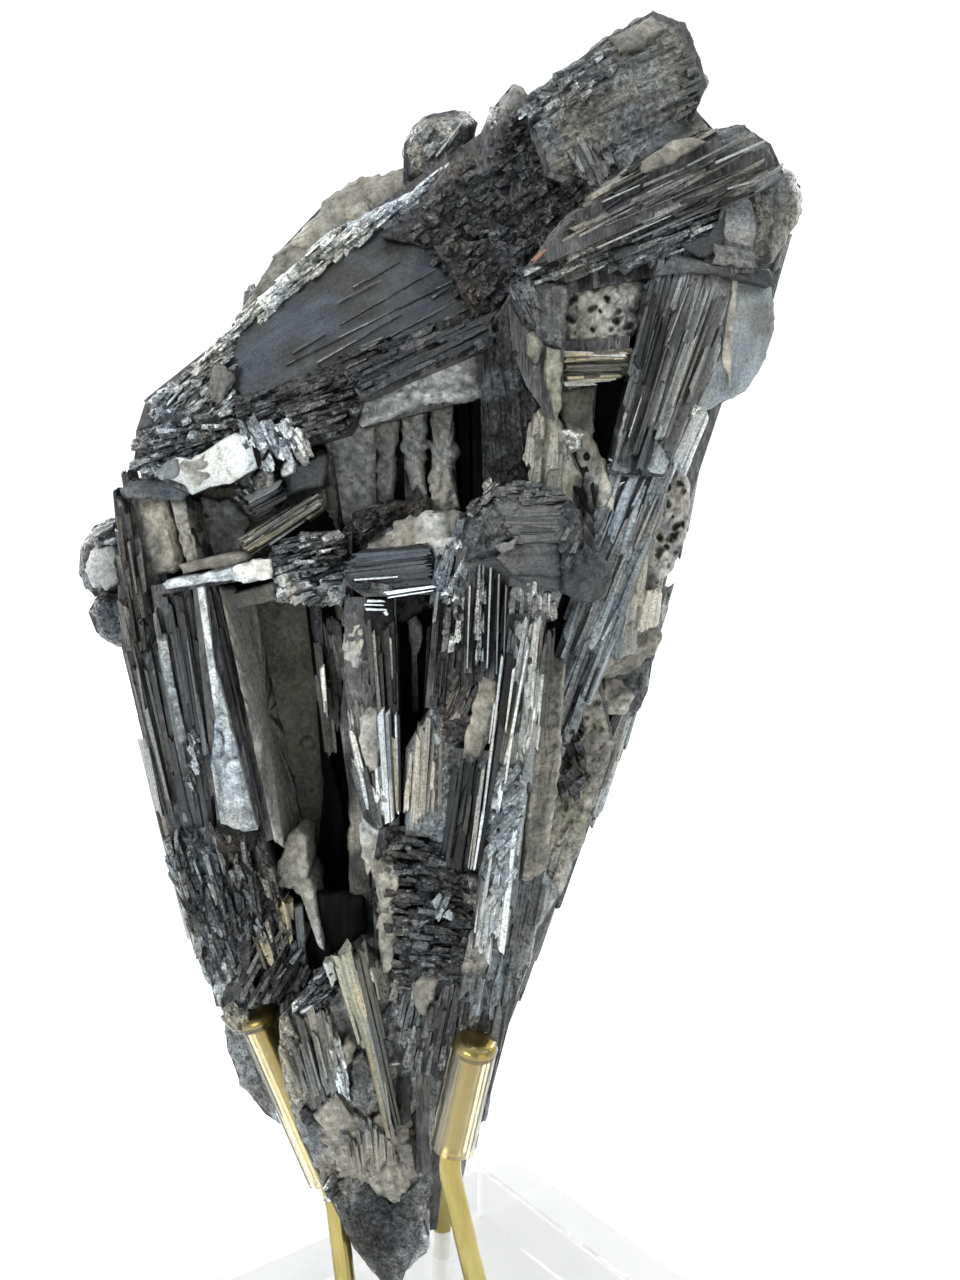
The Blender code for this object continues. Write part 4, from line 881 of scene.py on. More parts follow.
# the middle: a beam, ribs, leaves and pitted bars round a hollow
window = {
    "beam": crust("-13,178.3 -9,182 1,187 8,188 9.3,179.5 6,178.6 0,178 -4,177.4 -8,175.3 -12.5,174",
        (-18.2, 0, 0.35), "white silver", lumps=0.8, lumpSize=1.5, dome=1.5, swell=1.5, thick=16, rim=1.6, edge=0.8),
    "backWall": crust("-18.5,177 -9,180 -9.4,160 -14.5,158 -17.5,158", -6.6, "white silver", lumps=0.8, lumpSize=1.5,
        swell=1.4, thick=14, edge=0.5),
    "ribOne": crust("-9.8,178 -5.8,178.5 -6.2,168 -7,162 -9.6,161", -8.6, "sand light", grain=88, steps=0.5,
        lumps=0.9, dome=1.2, thick=8, edge=0.9, lumpSize=1.3),
    "ribTwo": crust("-5.6,178 -1.4,178.3 -1.5,163.2 -4,163.8 -5.3,168", -9.4, "silver sand", grain=88, steps=0.5,
        lumps=0.9, dome=1.4, thick=8, edge=0.9, lumpSize=1.3),
    "ribThree": crust("-0.7,178.6 2.9,178.6 3.5,169 3.2,165 4.3,160.5 -1.2,159.6 -0.6,165", -11.2, "sand silver",
        lumps=0.9, lumpSize=1.3, dome=1.8, thick=10, edge=0.9),
    # painted shade: near-black needles in the gaps between the ribs
    "voids": needles("-0.95,178.8,-1.05,161,0.9 4.6,178.6,5.2,160.5,2.6 7,178.6,7,160.5,2.8 -6,177,-6.3,169,0.6",
        -8.2, "black", material="void", deep=5),
    "blades": slab("8.4,188.5 12.8,196 15.5,189 17.8,178.5 16,161 11,160 8.2,163 7.6,178", (-22.6, 0.1, 0),
        "dark black slate", (0.34, 1, 0.7), grain=-86, steps=0.8, stepSize=0.9, lumps=0.5, lumpSize=1.2, thick=14),
    "leafOne": crust("14.8,189.4 16.2,189.6 17.6,187.6 17.4,185 16.4,184.2 15.2,186.4", -24.4, "olive moss",
        lumps=0.3, lumpSize=1.2, thick=3, rim=0.4),
    "leafTwo": crust("18.4,187 20.6,186.6 21,183 20.8,177.5 20,174.8 19,179 18.3,183.6", -24.4, "olive moss",
        lumps=0.3, lumpSize=1.2, thick=4, rim=0.4),
    "leafPlate": slab("12.5,195.5 17,197.2 21.8,196.6 21.6,190 20.8,187 17.4,187.5 14.6,190.5", -23.2, "dark ash",
        (0.36, 1, 0.5), grain=-86, steps=0.6, stepSize=1, lumps=0.3, lumpSize=1.2, thick=6, rim=0.5),
    "leafSide": bundle("12,196 15.5,198.5 17.5,194 16,189.5 13.2,192", -23, "dark grey dark", (0.3, 1, 0.6),
        grain=-62, wide=(0.5, 1.3), length=(3, 8), deep=2, cover=0.7),
    "pitted": crust("20.6,197.5 21.6,201.4 28,202.6 35.4,201 34.2,196 33.2,190 29.5,187.6 24,186.4 21.2,187",
        (-16.2, 0, 0.1), "sand light", lumps=1, lumpSize=1.7, swell=1.6, dome=1.2, pits=2, thick=16, edge=0.8,
        rim=1.4, pitch=0.32),
    "barred": bundle("20.8,185.9 32,186.8 31.8,184.4 30.6,182 20.9,180.4", -19.2, "sand gold dark silver gold black",
        (0.3, 1, 0.1), grain=1, wide=(0.3, 0.9), proud=0.8, ragged=0.1),
    "barredBed": crust("20.6,186 32.2,187 31.5,182.6 20.8,180.2", -18.6, "moss light", grain=1, steps=0.6, thick=14),
    "plate": crust("20.6,180.4 26.2,180.6 26,172 25.4,167 22.6,166.4 21,171 20.8,175", -15.2, "tan sand", grain=80,
        steps=0.4, lumps=0.3, thick=14, rim=0.5),
    # painted shade: a near-black sheet in the gap right of the plate
    "darkGap": recess("26.6,184 30.6,184 31.8,179 29,167.5 25.6,166.5 26,172", -10.6, thick=6),
    "gapShard": needles("24.2,172.5,27.8,167.2,1.2", -15.6, "grey slate"),
    "crumple": slab("19.6,173.2 21.8,174 24.6,173 24.2,170.6 21.6,169.6 20,170.6", -22.4, "light silver grey",
        (0.2, 0.3, 1), lumps=0.9, lumpSize=1.4, thick=8),
    "darkChip": slab("21.2,170.8 25.6,171 26.3,166.5 24.6,164.5 22,166", -20.2, "black", (0.3, 0.4, 1), lumps=0.8,
        lumpSize=1.6, thick=10),
    "leftLeaf": crust("14.4,176.5 17.4,177.8 20,176.8 22,171 24.4,166 23,160 21,158 16.5,158.5 15.4,166", -22.2,
        "tan warm moss sand", grain=84, steps=0.7, stepSize=1.6, lumps=0.5, dome=1, thick=18, rim=1.2, edge=0.5),
    "leftLeafBlades": bundle("15,176 19.5,176.5 21.5,170 21.5,161 17,160 16,167", -23.2, "moss tan grey warm",
        (0.5, 0.8, 0.2), grain=86, wide=(0.8, 2.2), length=(3, 9), proud=0.7, deep=2.5, layers=1, cover=0.8),
    "rightLeaf": crust("21.4,175 25.2,173.8 28,168.4 29.9,163.5 30.4,156 27.5,153.5 25,155 24.8,162", -19.6,
        "tan light moss", grain=80, steps=0.6, lumps=0.5, dome=0.8, thick=18, rim=1, edge=0.5),
    "leafTriangle": crust("27.8,168.2 30,162.6 29.6,160.2 26.6,160.6", -21.4, "sand", lumps=0.25, thick=4, rim=0.4),
    # painted shade: near-black needles in the dark gaps of the leaf
    "leafDark": needles("23.4,164.5,25.6,160,1.1 24.6,158.6,24.9,155.6,1.4 26,165,26.6,161,0.7", -22.6, "black dark",
        material="void"),
    "silverTie": needles("28.4,165.4,30.6,166.8,0.6 29.4,163.9,31.2,165.2,0.5 28.8,169,31.2,167.6,0.4", -20.4,
        "white silver"),
}

# the tall banded columns below the window
tower = {
    "head": bundle("8.5,158.5 9.8,162.6 12,164.2 18.6,164.4 21,162 23.4,158.4 22.8,155 13.5,155", (-32.2, 0.05, 0),
        "slate grey grey", (0.34, 1, 0.1), grain=1, wide=(1, 2.6), proud=0.5, deep=4, cover=0.5, ragged=0.1,
        tilt=0.15),
    "headBed": slab("4.5,157 6,160.4 10,164.3 20.5,164.3 24,160.5 25,155 28.3,152.5 29,149 27,146 20.8,147 12,149.2"
        " 4,150", (-31.6, 0.05, 0), "slate ash", (0.36, 1, 0.2), grain=1, steps=0.5, stepSize=1.3, thick=24),
    "headRoof": bundle("8.6,163.2 12,166 19.6,164.6 24,160 23.6,158.6 19,162 10.6,162", (-32.6, 0.05, 0),
        "grey slate", (0.3, 1, 0.5), grain=4, length=(2, 6), deep=2.5, cover=0.7),
    "headLeft": slab("4.8,157 6,160.2 9.8,162 11.6,158.8 13,156 11,154 9,152.6 5,152", -33.2, "dark slate ash",
        (0.3, 1, 0.9), grain=70, steps=0.5, lumps=0.9, lumpSize=1.7, thick=8, edge=0.5),
    "headEdge": bundle("5.2,160.6 9,165.4 10.4,165 9,162 6,159.6", -33.2, "light dark grey", (0.22, 0.8, 0.8),
        grain=45, wide=(0.5, 1.1), length=(1.5, 4), deep=2, cover=0.7, tilt=0.5),
    "headChunk": slab("20.6,154.6 24,156 25.6,154.6 27.8,152.8 29.6,149.6 28.6,146.4 24,144.8 20.8,147",
        (-32.4, 0.2, 0), "brown slate dark", (0.48, 0.5, 0.4), lumps=0.5, lumpSize=2.4, swell=1.5, thick=20, edge=0.5,
        rim=1.4),
    "headLower": slab("10,152.6 12.6,155 20.8,155 21,149.6 12.6,149.6", -33.2, "slate ash", (0.42, 0.9, 0.2), grain=1,
        steps=0.35, thick=6, rim=0.5),
    "headRight": bundle("21.4,157.8 23.8,159 25.2,154.6 23.6,150.8 21.2,151", (-33.8, 0.2, 0), "slate dark grey",
        (0.34, 0.9, 0.4), grain=66, wide=(0.6, 1.6), length=(3, 7), proud=0.7, deep=2, cover=0.7),
    "lilac": slab("9.8,154.6 12.4,155.4 14,156.4 13.4,154.4 11,153", -35, "blue grey", (0.3, 0.2, 0.2), thick=2.5,
        rim=0.3),
    "leftShoulder": bundle("3.4,157 5.4,160 5.6,152 5,146 1,146 0.4,151", -31, "grey silver slate", (0.28, 0.9, 0.8),
        grain=76, wide=(0.6, 1.6), length=(3, 8), proud=1.1),
    "blackColumn": bundle("0.4,152.6 5.4,152 5,140 2,127.5 -1.4,127.5 -0.2,140", -29.2, "dark slate dark grey black",
        (0.28, 1, 0.4), grain=84, wide=(0.5, 1.6), length=(8, 26), proud=1.1, deep=3.5, layers=3, cover=0.5),
    "silverFlecks": bundle("0.6,151 4.8,148 5,138 2,136 1.4,144", -31, "silver light dark", (0.2, 0.4, 0.9), grain=84,
        length=(1, 4), proud=0.8, deep=1.6, layers=1, cover=0.8, tilt=0.6),
    "striped": bundle("5.4,152.2 12.8,151.4 12,140 10.6,131 3.4,130.5 5,140", -31.2, "black dark black slate",
        (0.28, 1, 0.15), grain=86, wide=(0.6, 1.6), proud=1.1, deep=3.5, layers=3, cover=0.5, ragged=0.2),
    "whiteSplinter": bundle("6.8,151.5 8.2,151.5 7.9,144 7.8,135 6.6,135 6.9,144", -33, "light grey blue",
        (0.22, 0.6, 0.7), grain=88, wide=(0.4, 0.9), length=(2, 6), proud=0.8, deep=1.8),
    "stripedLines": needles("9.2,151,8.6,134,0.35 10.6,150,10.2,133,0.4 11.8,148,11.4,134,0.3 5.7,148,5.2,134,0.35",
        -33.8, "grey light"),
    "pale": bundle("12.8,150 16,149.4 20.6,149.5 20.4,145 19.6,142.5 15.5,142.5 12.4,140.5", -30.2,
        "light grey silver warm grey", (0.24, 0.8, 0.5), grain=87, wide=(0.6, 1.8), length=(2, 8), proud=1),
    "paleBed": slab("12.2,150.5 21.4,150.5 20.4,142 12.6,140.4", -29.8, "grey warm", (0.3, 1, 0.4), grain=87,
        steps=0.6, thick=16),
    "silver": bundle("12.4,140 15.2,142.6 17.8,142 17,124 14.8,110 13.6,98 11.6,84 7,84 8.4,106 10.4,126", -32.2,
        "light grey blue light silver", (0.28, 1, 0.25), grain=83, wide=(0.7, 2.4), length=(6, 26), proud=1.1,
        deep=3.5, layers=3, wander=2.5),
    "silverBed": slab("12.3,140 15,142.8 18.4,142.6 17,124 14.6,103 11.8,84 6.4,84 8,106 10,126", -31.9,
        "blue light grey", (0.3, 1, 0.3), grain=83, steps=0.7, thick=22, pitch=0.65),
    "silverKnots": bundle("10,117 15,117 14.4,104 12,92 8.4,92 9,106", -33.4, "light blue grey", (0.26, 0.9, 0.6),
        grain=50, wide=(0.8, 2), length=(1.5, 5), deep=2.2, layers=1, cover=0.7, tilt=0.6),
    "pinkColumn": bundle("15.6,141 19.6,140 18.4,124 15.8,110 14.6,112 16,126", -31.8, "dark warm slate",
        (0.34, 1, 0.3), grain=84, wide=(0.6, 1.5), length=(5, 18)),
    "bandDark": needles("12.6,136,10.4,121,1.7 11,124,8.4,107,1.1 8.8,110,6.9,99,0.9", -34.4, "black dark", spin=0.1),
    "bandLines": needles("11.2,136,9.4,120,0.5 9.6,122,7.9,108,0.5 8,109,6.4,98.6,0.6 13.2,134,11.8,123,0.5"
        " 12.8,122,11.8,114,0.5 9.9,128,9,121,0.4", -34.9, "light silver sand"),
    "tanPatch": crust("8.2,134 10.8,134.6 10.4,127 9,121 7.4,118 4.6,119 5,123 6.2,129", -30.8, "warm tan", lumps=0.5,
        dome=0.6, thick=8, edge=0.5),
    "tanColumn": crust("17.4,137 22,135.4 21,116 18.8,98 14.6,96 15.8,118", -28.4, "warm tan", grain=84, steps=0.5,
        lumps=0.5, swell=1.2, thick=18, edge=0.5, rim=1),
    "darkSlab": bundle("3.4,118.6 8.8,118.4 7.6,109 6.2,98.6 1.6,99 2.4,108", -30.8, "dark slate dark black",
        (0.3, 1, 0.1), grain=82, wide=(0.6, 1.6), proud=0.8, cover=0.55),
    "darkSlabBed": slab("3,118.4 9,118.6 7.6,107 6,98 1.4,98.6", -30.4, "slate dark", (0.32, 1, 0.1), grain=82,
        steps=0.5, thick=14),
    "pinkLines": needles("8,116.5,6,99,0.7 7.2,112,5.4,99,0.4", -33.4, "pink sand"),
    "greyColumn": bundle("-5,119.6 -2.6,124.5 -0.8,127.2 0.6,119 0,107.6 -3.4,106.6 -5.4,107", -28.8,
        "warm tan grey sand", (0.4, 1, 0.15), grain=86, wide=(0.5, 1.5), proud=0.8, ragged=0.15),
    "greyBed": slab("-5.2,120 -2.6,124.5 -0.8,127.4 4.8,122 4.2,112 1.6,103 -5.5,105", -28.6, "grey blue grey",
        (0.38, 0.5, 0.7), lumps=0.6, lumpSize=1.4, thick=16, edge=0.5),
    "sparkleTop": slab("-0.4,126.6 1,128 4.6,128.6 6.4,124 5.4,121 2,121.4 0.4,122.6", -30.6, "dark brown silver",
        (0.26, 0.5, 1), lumps=1, lumpSize=1.4, thick=9, edge=0.6),
    "brownColumn": bundle("3.2,134 7.4,133.6 6.4,128 5,123 1.6,128", -30.4, "brown dark warm", (0.34, 1, 0.4),
        grain=66, wide=(0.6, 1.4), length=(3, 8), deep=2.5, cover=0.7),
    "layered": slab("-8.6,105.4 -2,104.6 2,106 4,101 8,97.5 8,84 5,77.6 -8,75.4 -10.8,84 -11.4,98", -25.8,
        "dark brown black dark", (0.36, 0.7, 1), grain=-4, steps=1, stepSize=1.4, lumps=0.8, lumpSize=1.6, swell=1.6,
        thick=20, edge=0.5, mottle=0.35),
    "layeredBlades": bundle("-8,104.6 1,105 7.6,97 7.6,84 4.6,78 -7,76.4 -9.4,88 -9.4,99", -27.4,
        "grey brown dark slate grey", (0.32, 0.9, 0.9), grain=-8, wide=(0.6, 1.8), length=(1.5, 6), proud=1.2,
        deep=2.5, cover=0.8, tilt=0.6, wander=9),
    "layeredDruse": crust("-11.6,99.5 -7.4,99 -6.2,97 -8,92 -7.4,87 -8,80.5 -9.6,80 -10.6,88 -10.4,93", -28.4,
        "tan sand warm", lumps=1, lumpSize=1.8, swell=1.2, thick=8, edge=0.7),
    "layeredChip": bundle("-1.4,94 2.4,94 2.6,90 0.4,89", -29.4, "blue grey light", (0.26, 0.6, 0.6), grain=60,
        wide=(0.7, 1.6), length=(1.5, 4), proud=0.8, deep=2, layers=1, cover=0.8),
    "rightCore": slab("5,98 10,96 10.4,84 6,76 4,80 6.6,90", (-29, 0.1, 0), "grey warm slate", (0.42, 0.9, 0.5),
        grain=78, steps=0.6, lumps=0.5, thick=16, edge=0.5),
    "waist": bundle("-8.6,80 -3,79 6,80 9.6,73 8,70.5 0,61 -5,62", (-26.8, 0, -0.1), "grey dark warm grey",
        (0.4, 1, 0.5), grain=78, wide=(0.6, 2), length=(3, 10), proud=1.1),
    "waistBed": slab("-9,80 7.6,82 10,73 8,70 1.6,61 -5,62", (-26.4, 0, -0.1), "grey brown", (0.42, 0.8, 0.6),
        grain=78, steps=0.5, lumps=0.6, thick=18),
    "waistDruse": crust("-4.6,77.6 -2.4,79 0,78 -1,74.4 -2.6,71.6 -4,73", -29.4, "warm tan", lumps=0.8, lumpSize=1.4,
        thick=4, edge=0.5),
}

# the pointed shaft left of the tower, with tarnish colours, a hole and a slit
fang = {
    "shaft": bundle("-11.6,142 -7.2,142 -6.8,127 -10,126.4 -12,132", -26.8, "dark brown pink dark black",
        (0.32, 1, 0.3), grain=-88, wide=(0.5, 1.4), proud=0.8, cover=0.55, ragged=0.15),
    "shaftTop": slab("-12.2,147 -6.8,147 -6.8,138 -12,138", -26.4, "black", (0.35, 0.9, 0.3), steps=0.4),
    "druse": crust("-15.6,141.6 -12.2,142 -12,135 -12.6,131 -14,133 -15.6,136", -26.2, "sand light tan", lumps=0.8,
        lumpSize=1.6, thick=9, edge=0.6),
    "sandPlate": crust("-13.2,125 -11.8,127 -10.2,126.6 -9.9,120 -10,116.2 -11.6,115.8 -13,119", -28.2, "sand white",
        grain=-80, steps=0.3, lumps=0.3, thick=5, rim=0.5, edge=0.5),
    "rainbow": needles("-9.5,126.5,-8.6,107,1.3 -8.4,126.5,-7.7,107.6,1 -7,126,-6.7,108.6,0.5", -28.6,
        "silver white silver", (0.2, 0.8, 0)),
    "rainbowGold": needles("-7.45,122,-6.9,109,0.7", -28.9, "gold", (0.25, 0.8, 0)),
    "rainbowDark": needles("-8,126,-7.4,108,0.45 -6.5,126,-6.4,109,0.5 -9,126.6,-8.4,114,0.25", -29.2, "black slate"),
    "left": bundle("-16,135 -14.2,134 -13.2,126 -13,117 -10,107 -12.4,109.5 -14.6,117 -15.2,126", -26.2,
        "light dark grey grey silver", (0.24, 0.9, 0.3), focus=(-8.6, 96), wide=(0.5, 1.3), deep=2.5, ragged=0.3),
    "point": bundle("-13,117 -9.6,117 -8,108.4 -9.6,105.8 -11,108", -27.8, "light dark silver grey black",
        (0.22, 0.8, 0.3), focus=(-9, 100), proud=0.8, deep=2.5, ragged=0.3),
    "bed": slab("-15.6,136 -12,128 -7,127 -6.6,112 -9.6,105.6 -12.8,110 -15,120", -26.2, "grey dark light",
        (0.3, 1, 0.3), grain=-85, steps=0.5),
    "collar": crust("-13.2,108 -9.6,105.4 -6.6,108 -6.2,104.6 -9,100 -12.2,97 -13.4,102", -24.4, "sand silver",
        lumps=0.7, lumpSize=2, edge=0.6),
    # painted shade: a near-black sheet at the back of the hole
    "holeWall": recess("-6.8,146 0.4,146.4 -0.6,128 -4,118 -6.6,120", -13.2, thick=6),
    "holeRod": slab("-4.9,142 -3.6,143.6 -2.4,142 -2.2,139 -3.2,136 -3,126 -4.2,126 -4.4,136", -15.4, "grey light",
        (0.45, 0.9, 0.3), grain=88, steps=0.3, thick=5, rim=0.6),
    "holeRib": needles("-1.2,141,-2.2,126,0.8 -0.4,144,-1.2,130,0.6", -17, "dark"),
    "gill": bundle("-20.6,148 -16.4,146 -15.6,135 -17,124 -18.6,118 -19.8,130", -14.6, "dark grey dark olive",
        (0.4, 0.9, 0.3), grain=-84, wide=(0.8, 2.4), length=(6, 22), proud=1, deep=4, cover=0.7),
    "gillShine": needles("-19.4,134,-18.9,126.6,1 -19,128.4,-18.7,125.6,0.5", -17.6, "grey white"),
    "slitWall": slab("-15.6,134 -13.4,122 -12.4,108 -11.6,98 -10.8,88 -11.4,83 -14.6,84 -15.4,96 -15.2,112 -16.6,124",
        -16.4, "grey dark warm", (0.5, 0.7, 0.2), grain=-88, steps=0.3, swell=1.2, thick=14, edge=0.5, rim=1),
    # painted shade: a near-black sheet in the slit
    "slit": recess("-22.4,149 -20,149 -19.2,130 -17.6,116 -15,104 -15,84 -21,80 -21.6,96 -19.4,108 -20.6,130", -3.4,
        thick=4),
}

# small ledges and struts between the window and the shaft
shelves = {
    "rough": bundle("-27.4,153.6 -24,156 -15.4,157 -15,145.6 -20,145 -26,146", -25,
        "dark silver grey black light dark", (0.26, 0.9, 0.9), grain=14, wide=(0.5, 1.5), length=(1.5, 6), proud=1.7,
        layers=3, tilt=0.7, wander=16),
    "roughBed": slab("-27.5,153.5 -21,156 -14.6,156.6 -14.8,145.4 -20,144.8 -25.6,145.8", -24.6, "dark grey black",
        (0.28, 1, 1), grain=14, steps=0.8, lumps=0.8, lumpSize=1.5, thick=18, edge=0.5),
    "roughWhite": bundle("-26.6,146.4 -25.4,149.4 -22.6,150 -20,148 -21,146 -23,145", -26.8, "light sand dark",
        (0.3, 0.3, 0.4), grain=20, wide=(0.8, 1.9), length=(1.5, 4), proud=1.2, deep=2.4, cover=0.8, tilt=0.6,
        wander=25),
    "roughRight": bundle("-19.6,149.6 -15.2,150 -15.2,145.4 -17.6,145", -26.2, "light warm silver", (0.36, 0.8, 0.3),
        grain=70, wide=(1, 2.4), length=(2, 5), proud=0.8, deep=2.4, layers=1, cover=0.8),
    "strut": bundle("-16,157 -13.8,157 -13.8,141.6 -15.8,142", -25.2, "black", (0.32, 1, 0.6), grain=89, proud=0.8,
        ragged=0.3),
    "strutBed": slab("-16,149 -0.4,149 -0.6,144.6 -6.4,141.4 -13,141 -16,142", -24.4, "black", (0.42, 0.6, 0.4),
        lumps=0.3, swell=1, thick=16, edge=0.5),
    "bits": needles("-11.6,145.3,-8.6,145.3,0.55 -11.8,143.9,-8.4,143.8,0.5 -12,144.7,-8.8,144.6,0.3"
        " -8.6,143.6,-8.3,143,0.8", -28.2, "white silver", (0.2, 0.2, 0.2)),
    "dark": slab("-15.4,157.4 -13,160.4 -9,161.6 -2.2,162.4 -0.8,162.8 -1,159 -8,155.6 -14.6,154", -19,
        "black brown dark", (0.34, 0.6, 1), grain=8, steps=0.4, lumps=1.1, lumpSize=1.6, thick=18, edge=0.6),
    "darkLeft": bundle("-15.4,155.4 -12.4,159.6 -10.4,158.4 -11.6,154.4", -22.4, "ash brown dark", (0.26, 0.8, 1),
        grain=40, wide=(0.5, 1.3), length=(1.2, 4), proud=1.3, deep=2.2, cover=0.7, tilt=0.7, wander=20),
    "cream": crust("-12.6,155 -8.4,156.2 -7,158.6 -1,160.6 4,160.2 4.6,157 3,150.6 0.4,149 -1,154 -8,153.6 -12.6,153",
        (-22.6, 0, 0.1), "sand tan white", lumps=0.9, lumpSize=2, dome=1, swell=1.2, thick=18, edge=0.6, rim=1.2),
    "creamDrop": crust("-1,156 3.2,156 3.2,152.6 1.6,149.6 0.4,150.4 -0.6,153", -26.6, "white", lumps=0.7,
        lumpSize=1.6, thick=8, edge=0.5),
    "prism": bundle("-15,150.8 -12.6,153.2 -8,154.2 -1.4,155 -0.2,151 -0.2,148.2 -8,147.6 -14,148.6", -29,
        "slate dark dark ash", (0.26, 1, 0.05), grain=5, wide=(0.8, 2.2), proud=0.5, deep=4, cover=0.5, ragged=0.06,
        tilt=0.15, wander=1),
    "prismBed": slab("-15.4,150.4 -12.6,153.4 -1.3,155 0.3,150 0.2,146.6 -12,146.6 -14.8,148", -28.6, "dark",
        (0.28, 1, 0.1), grain=5, steps=0.5),
    # painted highlight: white and silver needles along the prism's lower edge
    "prismEdgeHighlight": needles("-8.4,146.6,-0.2,147.8,0.8 -8,145.9,-0.4,147.1,0.3 -13.6,148.9,-6.4,149.4,0.35", -30.6,
        "white silver", (0.2, 0.5, 0.1)),
    "prismCrust": slab("-14.6,149 -11.6,149 -7.6,148 -7.8,146 -10.4,146.8 -14,147.2", -30, "grey warm dark",
        (0.3, 0.3, 1), lumps=1, lumpSize=1.3, thick=5, edge=0.5),
}

# long rails down the left edge
rails = {
    "outer": bundle("-53.4,148 -48.6,150 -46.6,138 -44.6,120 -40,92 -36,78 -38.4,74 -41.4,80 -44.4,92 -47.8,106"
        " -50,120 -53,137", (-17.8, 0.1, 0), "dark grey warm dark olive", (0.32, 1, 0.2), focus=(-28, 20),
        wide=(0.8, 2), proud=1.2, deep=4, cover=0.5, ragged=0.3),
    "outerBed": slab("-53.6,148 -48.5,150 -45,122 -40,92 -34.6,76 -38,73 -41.2,80 -44.2,92 -47.8,106 -50,120"
        " -53.2,137", (-17.4, 0.1, 0), "dark brown grey", (0.35, 1, 0.3), grain=-78, steps=0.6, thick=26),
    "outerLines": needles("-49.6,127,-46.4,111,0.8 -49.6,120,-47.6,108,0.5 -50.8,134,-49.8,126,0.5"
        " -46,104,-43.4,95,0.6", -20.4, "warm light"),
    "grey": bundle("-48,147 -41.4,148 -38,126 -37,119 -37.4,106 -39,98 -43.6,106 -45.4,120", (-21.8, 0.1, 0),
        "olive grey dark slate grey", (0.34, 1, 0.15), focus=(-28, 20), wide=(0.7, 2), proud=1.1, deep=4, cover=0.5,
        ragged=0.2),
    "pale": slab("-47.4,139 -45.6,139.8 -44.4,130 -42.6,121.5 -44,119.6 -45.6,128", (-23.6, 0.1, 0), "light grey",
        (0.4, 0.7, 0.5), grain=-78, steps=0.4, lumps=0.4, thick=4, rim=0.4),
    "darkStripes": bundle("-45.4,147 -43,147 -39.6,122 -38.4,118 -40.6,119 -43,130", (-23.8, 0.1, 0),
        "dark slate grey", (0.28, 1, 0.1), focus=(-28, 20), wide=(0.5, 1.3), proud=0.8, ragged=0.15),
    "rust": bundle("-42.6,122 -40.8,123.6 -40.4,118 -42,112 -43.4,114 -42.6,118", (-23.4, 0.1, 0),
        "silver dark brown", (0.25, 0.6, 0.8), grain=-70, wide=(0.4, 1), length=(1, 3), deep=2, cover=0.7, tilt=0.5),
    "bright": slab("-40.2,147.6 -39,148 -37.6,134 -36.6,131 -33.4,116.5 -31,105.6 -33,105.2 -37.4,106.6 -38.8,117"
        " -37.8,125 -38.8,134", -24.6, "light blue silver light", (0.5, 0.5, 0.4), grain=-80, steps=0.2, stepSize=2.5,
        swell=0.8, rim=0.3, edge=0.25, cracks=0.5, lumps=0.3, lumpSize=1.7, mottle=0.2),
    "thin": bundle("-39,148.3 -37,148.2 -33,123 -29.4,104 -30.8,103.4 -34.6,122", -22.6, "black dark black brown",
        (0.34, 1, 0.1), grain=-78, wide=(0.4, 1), proud=0.8, cover=0.55, ragged=0.06, wander=0.6),
    "rough": bundle("-47,104 -42,107 -38,106.4 -30.5,105 -27.6,92 -28,84 -34,80 -39,77.6 -42,83 -44.8,94",
        (-21, 0, -0.05), "grey dark slate blue warm dark", (0.32, 1, 0.8), grain=-76, wide=(0.7, 2.2), length=(2, 10),
        proud=1.8, deep=4, layers=3, cover=0.5, tilt=0.7, wander=12),
    "roughBed": slab("-47,104 -30.4,105.6 -27.4,92 -27.8,83.4 -34,80 -39.3,77.4 -41.8,82 -44.8,94", (-20.6, 0, -0.05),
        "dark slate grey", (0.36, 1, 1), grain=-76, steps=0.8, lumps=0.9, lumpSize=1.8, thick=22, edge=0.5),
    "blueHeel": slab("-44.4,92 -39.4,92.6 -37,86 -36.6,78 -38.6,73.6 -41.6,80", (-21.6, 0, -0.05), "light blue light",
        (0.4, 0.6, 0.8), lumps=0.8, lumpSize=2, swell=1.2, edge=0.5),
    "knee": slab("-38.6,105 -37.6,107.2 -33.6,107 -30.8,105.4 -31.4,102 -36,100.6 -38.4,102", -24.2, "black brown",
        (0.4, 0.6, 0.8), lumps=0.9, lumpSize=2, thick=10, edge=0.5),
}

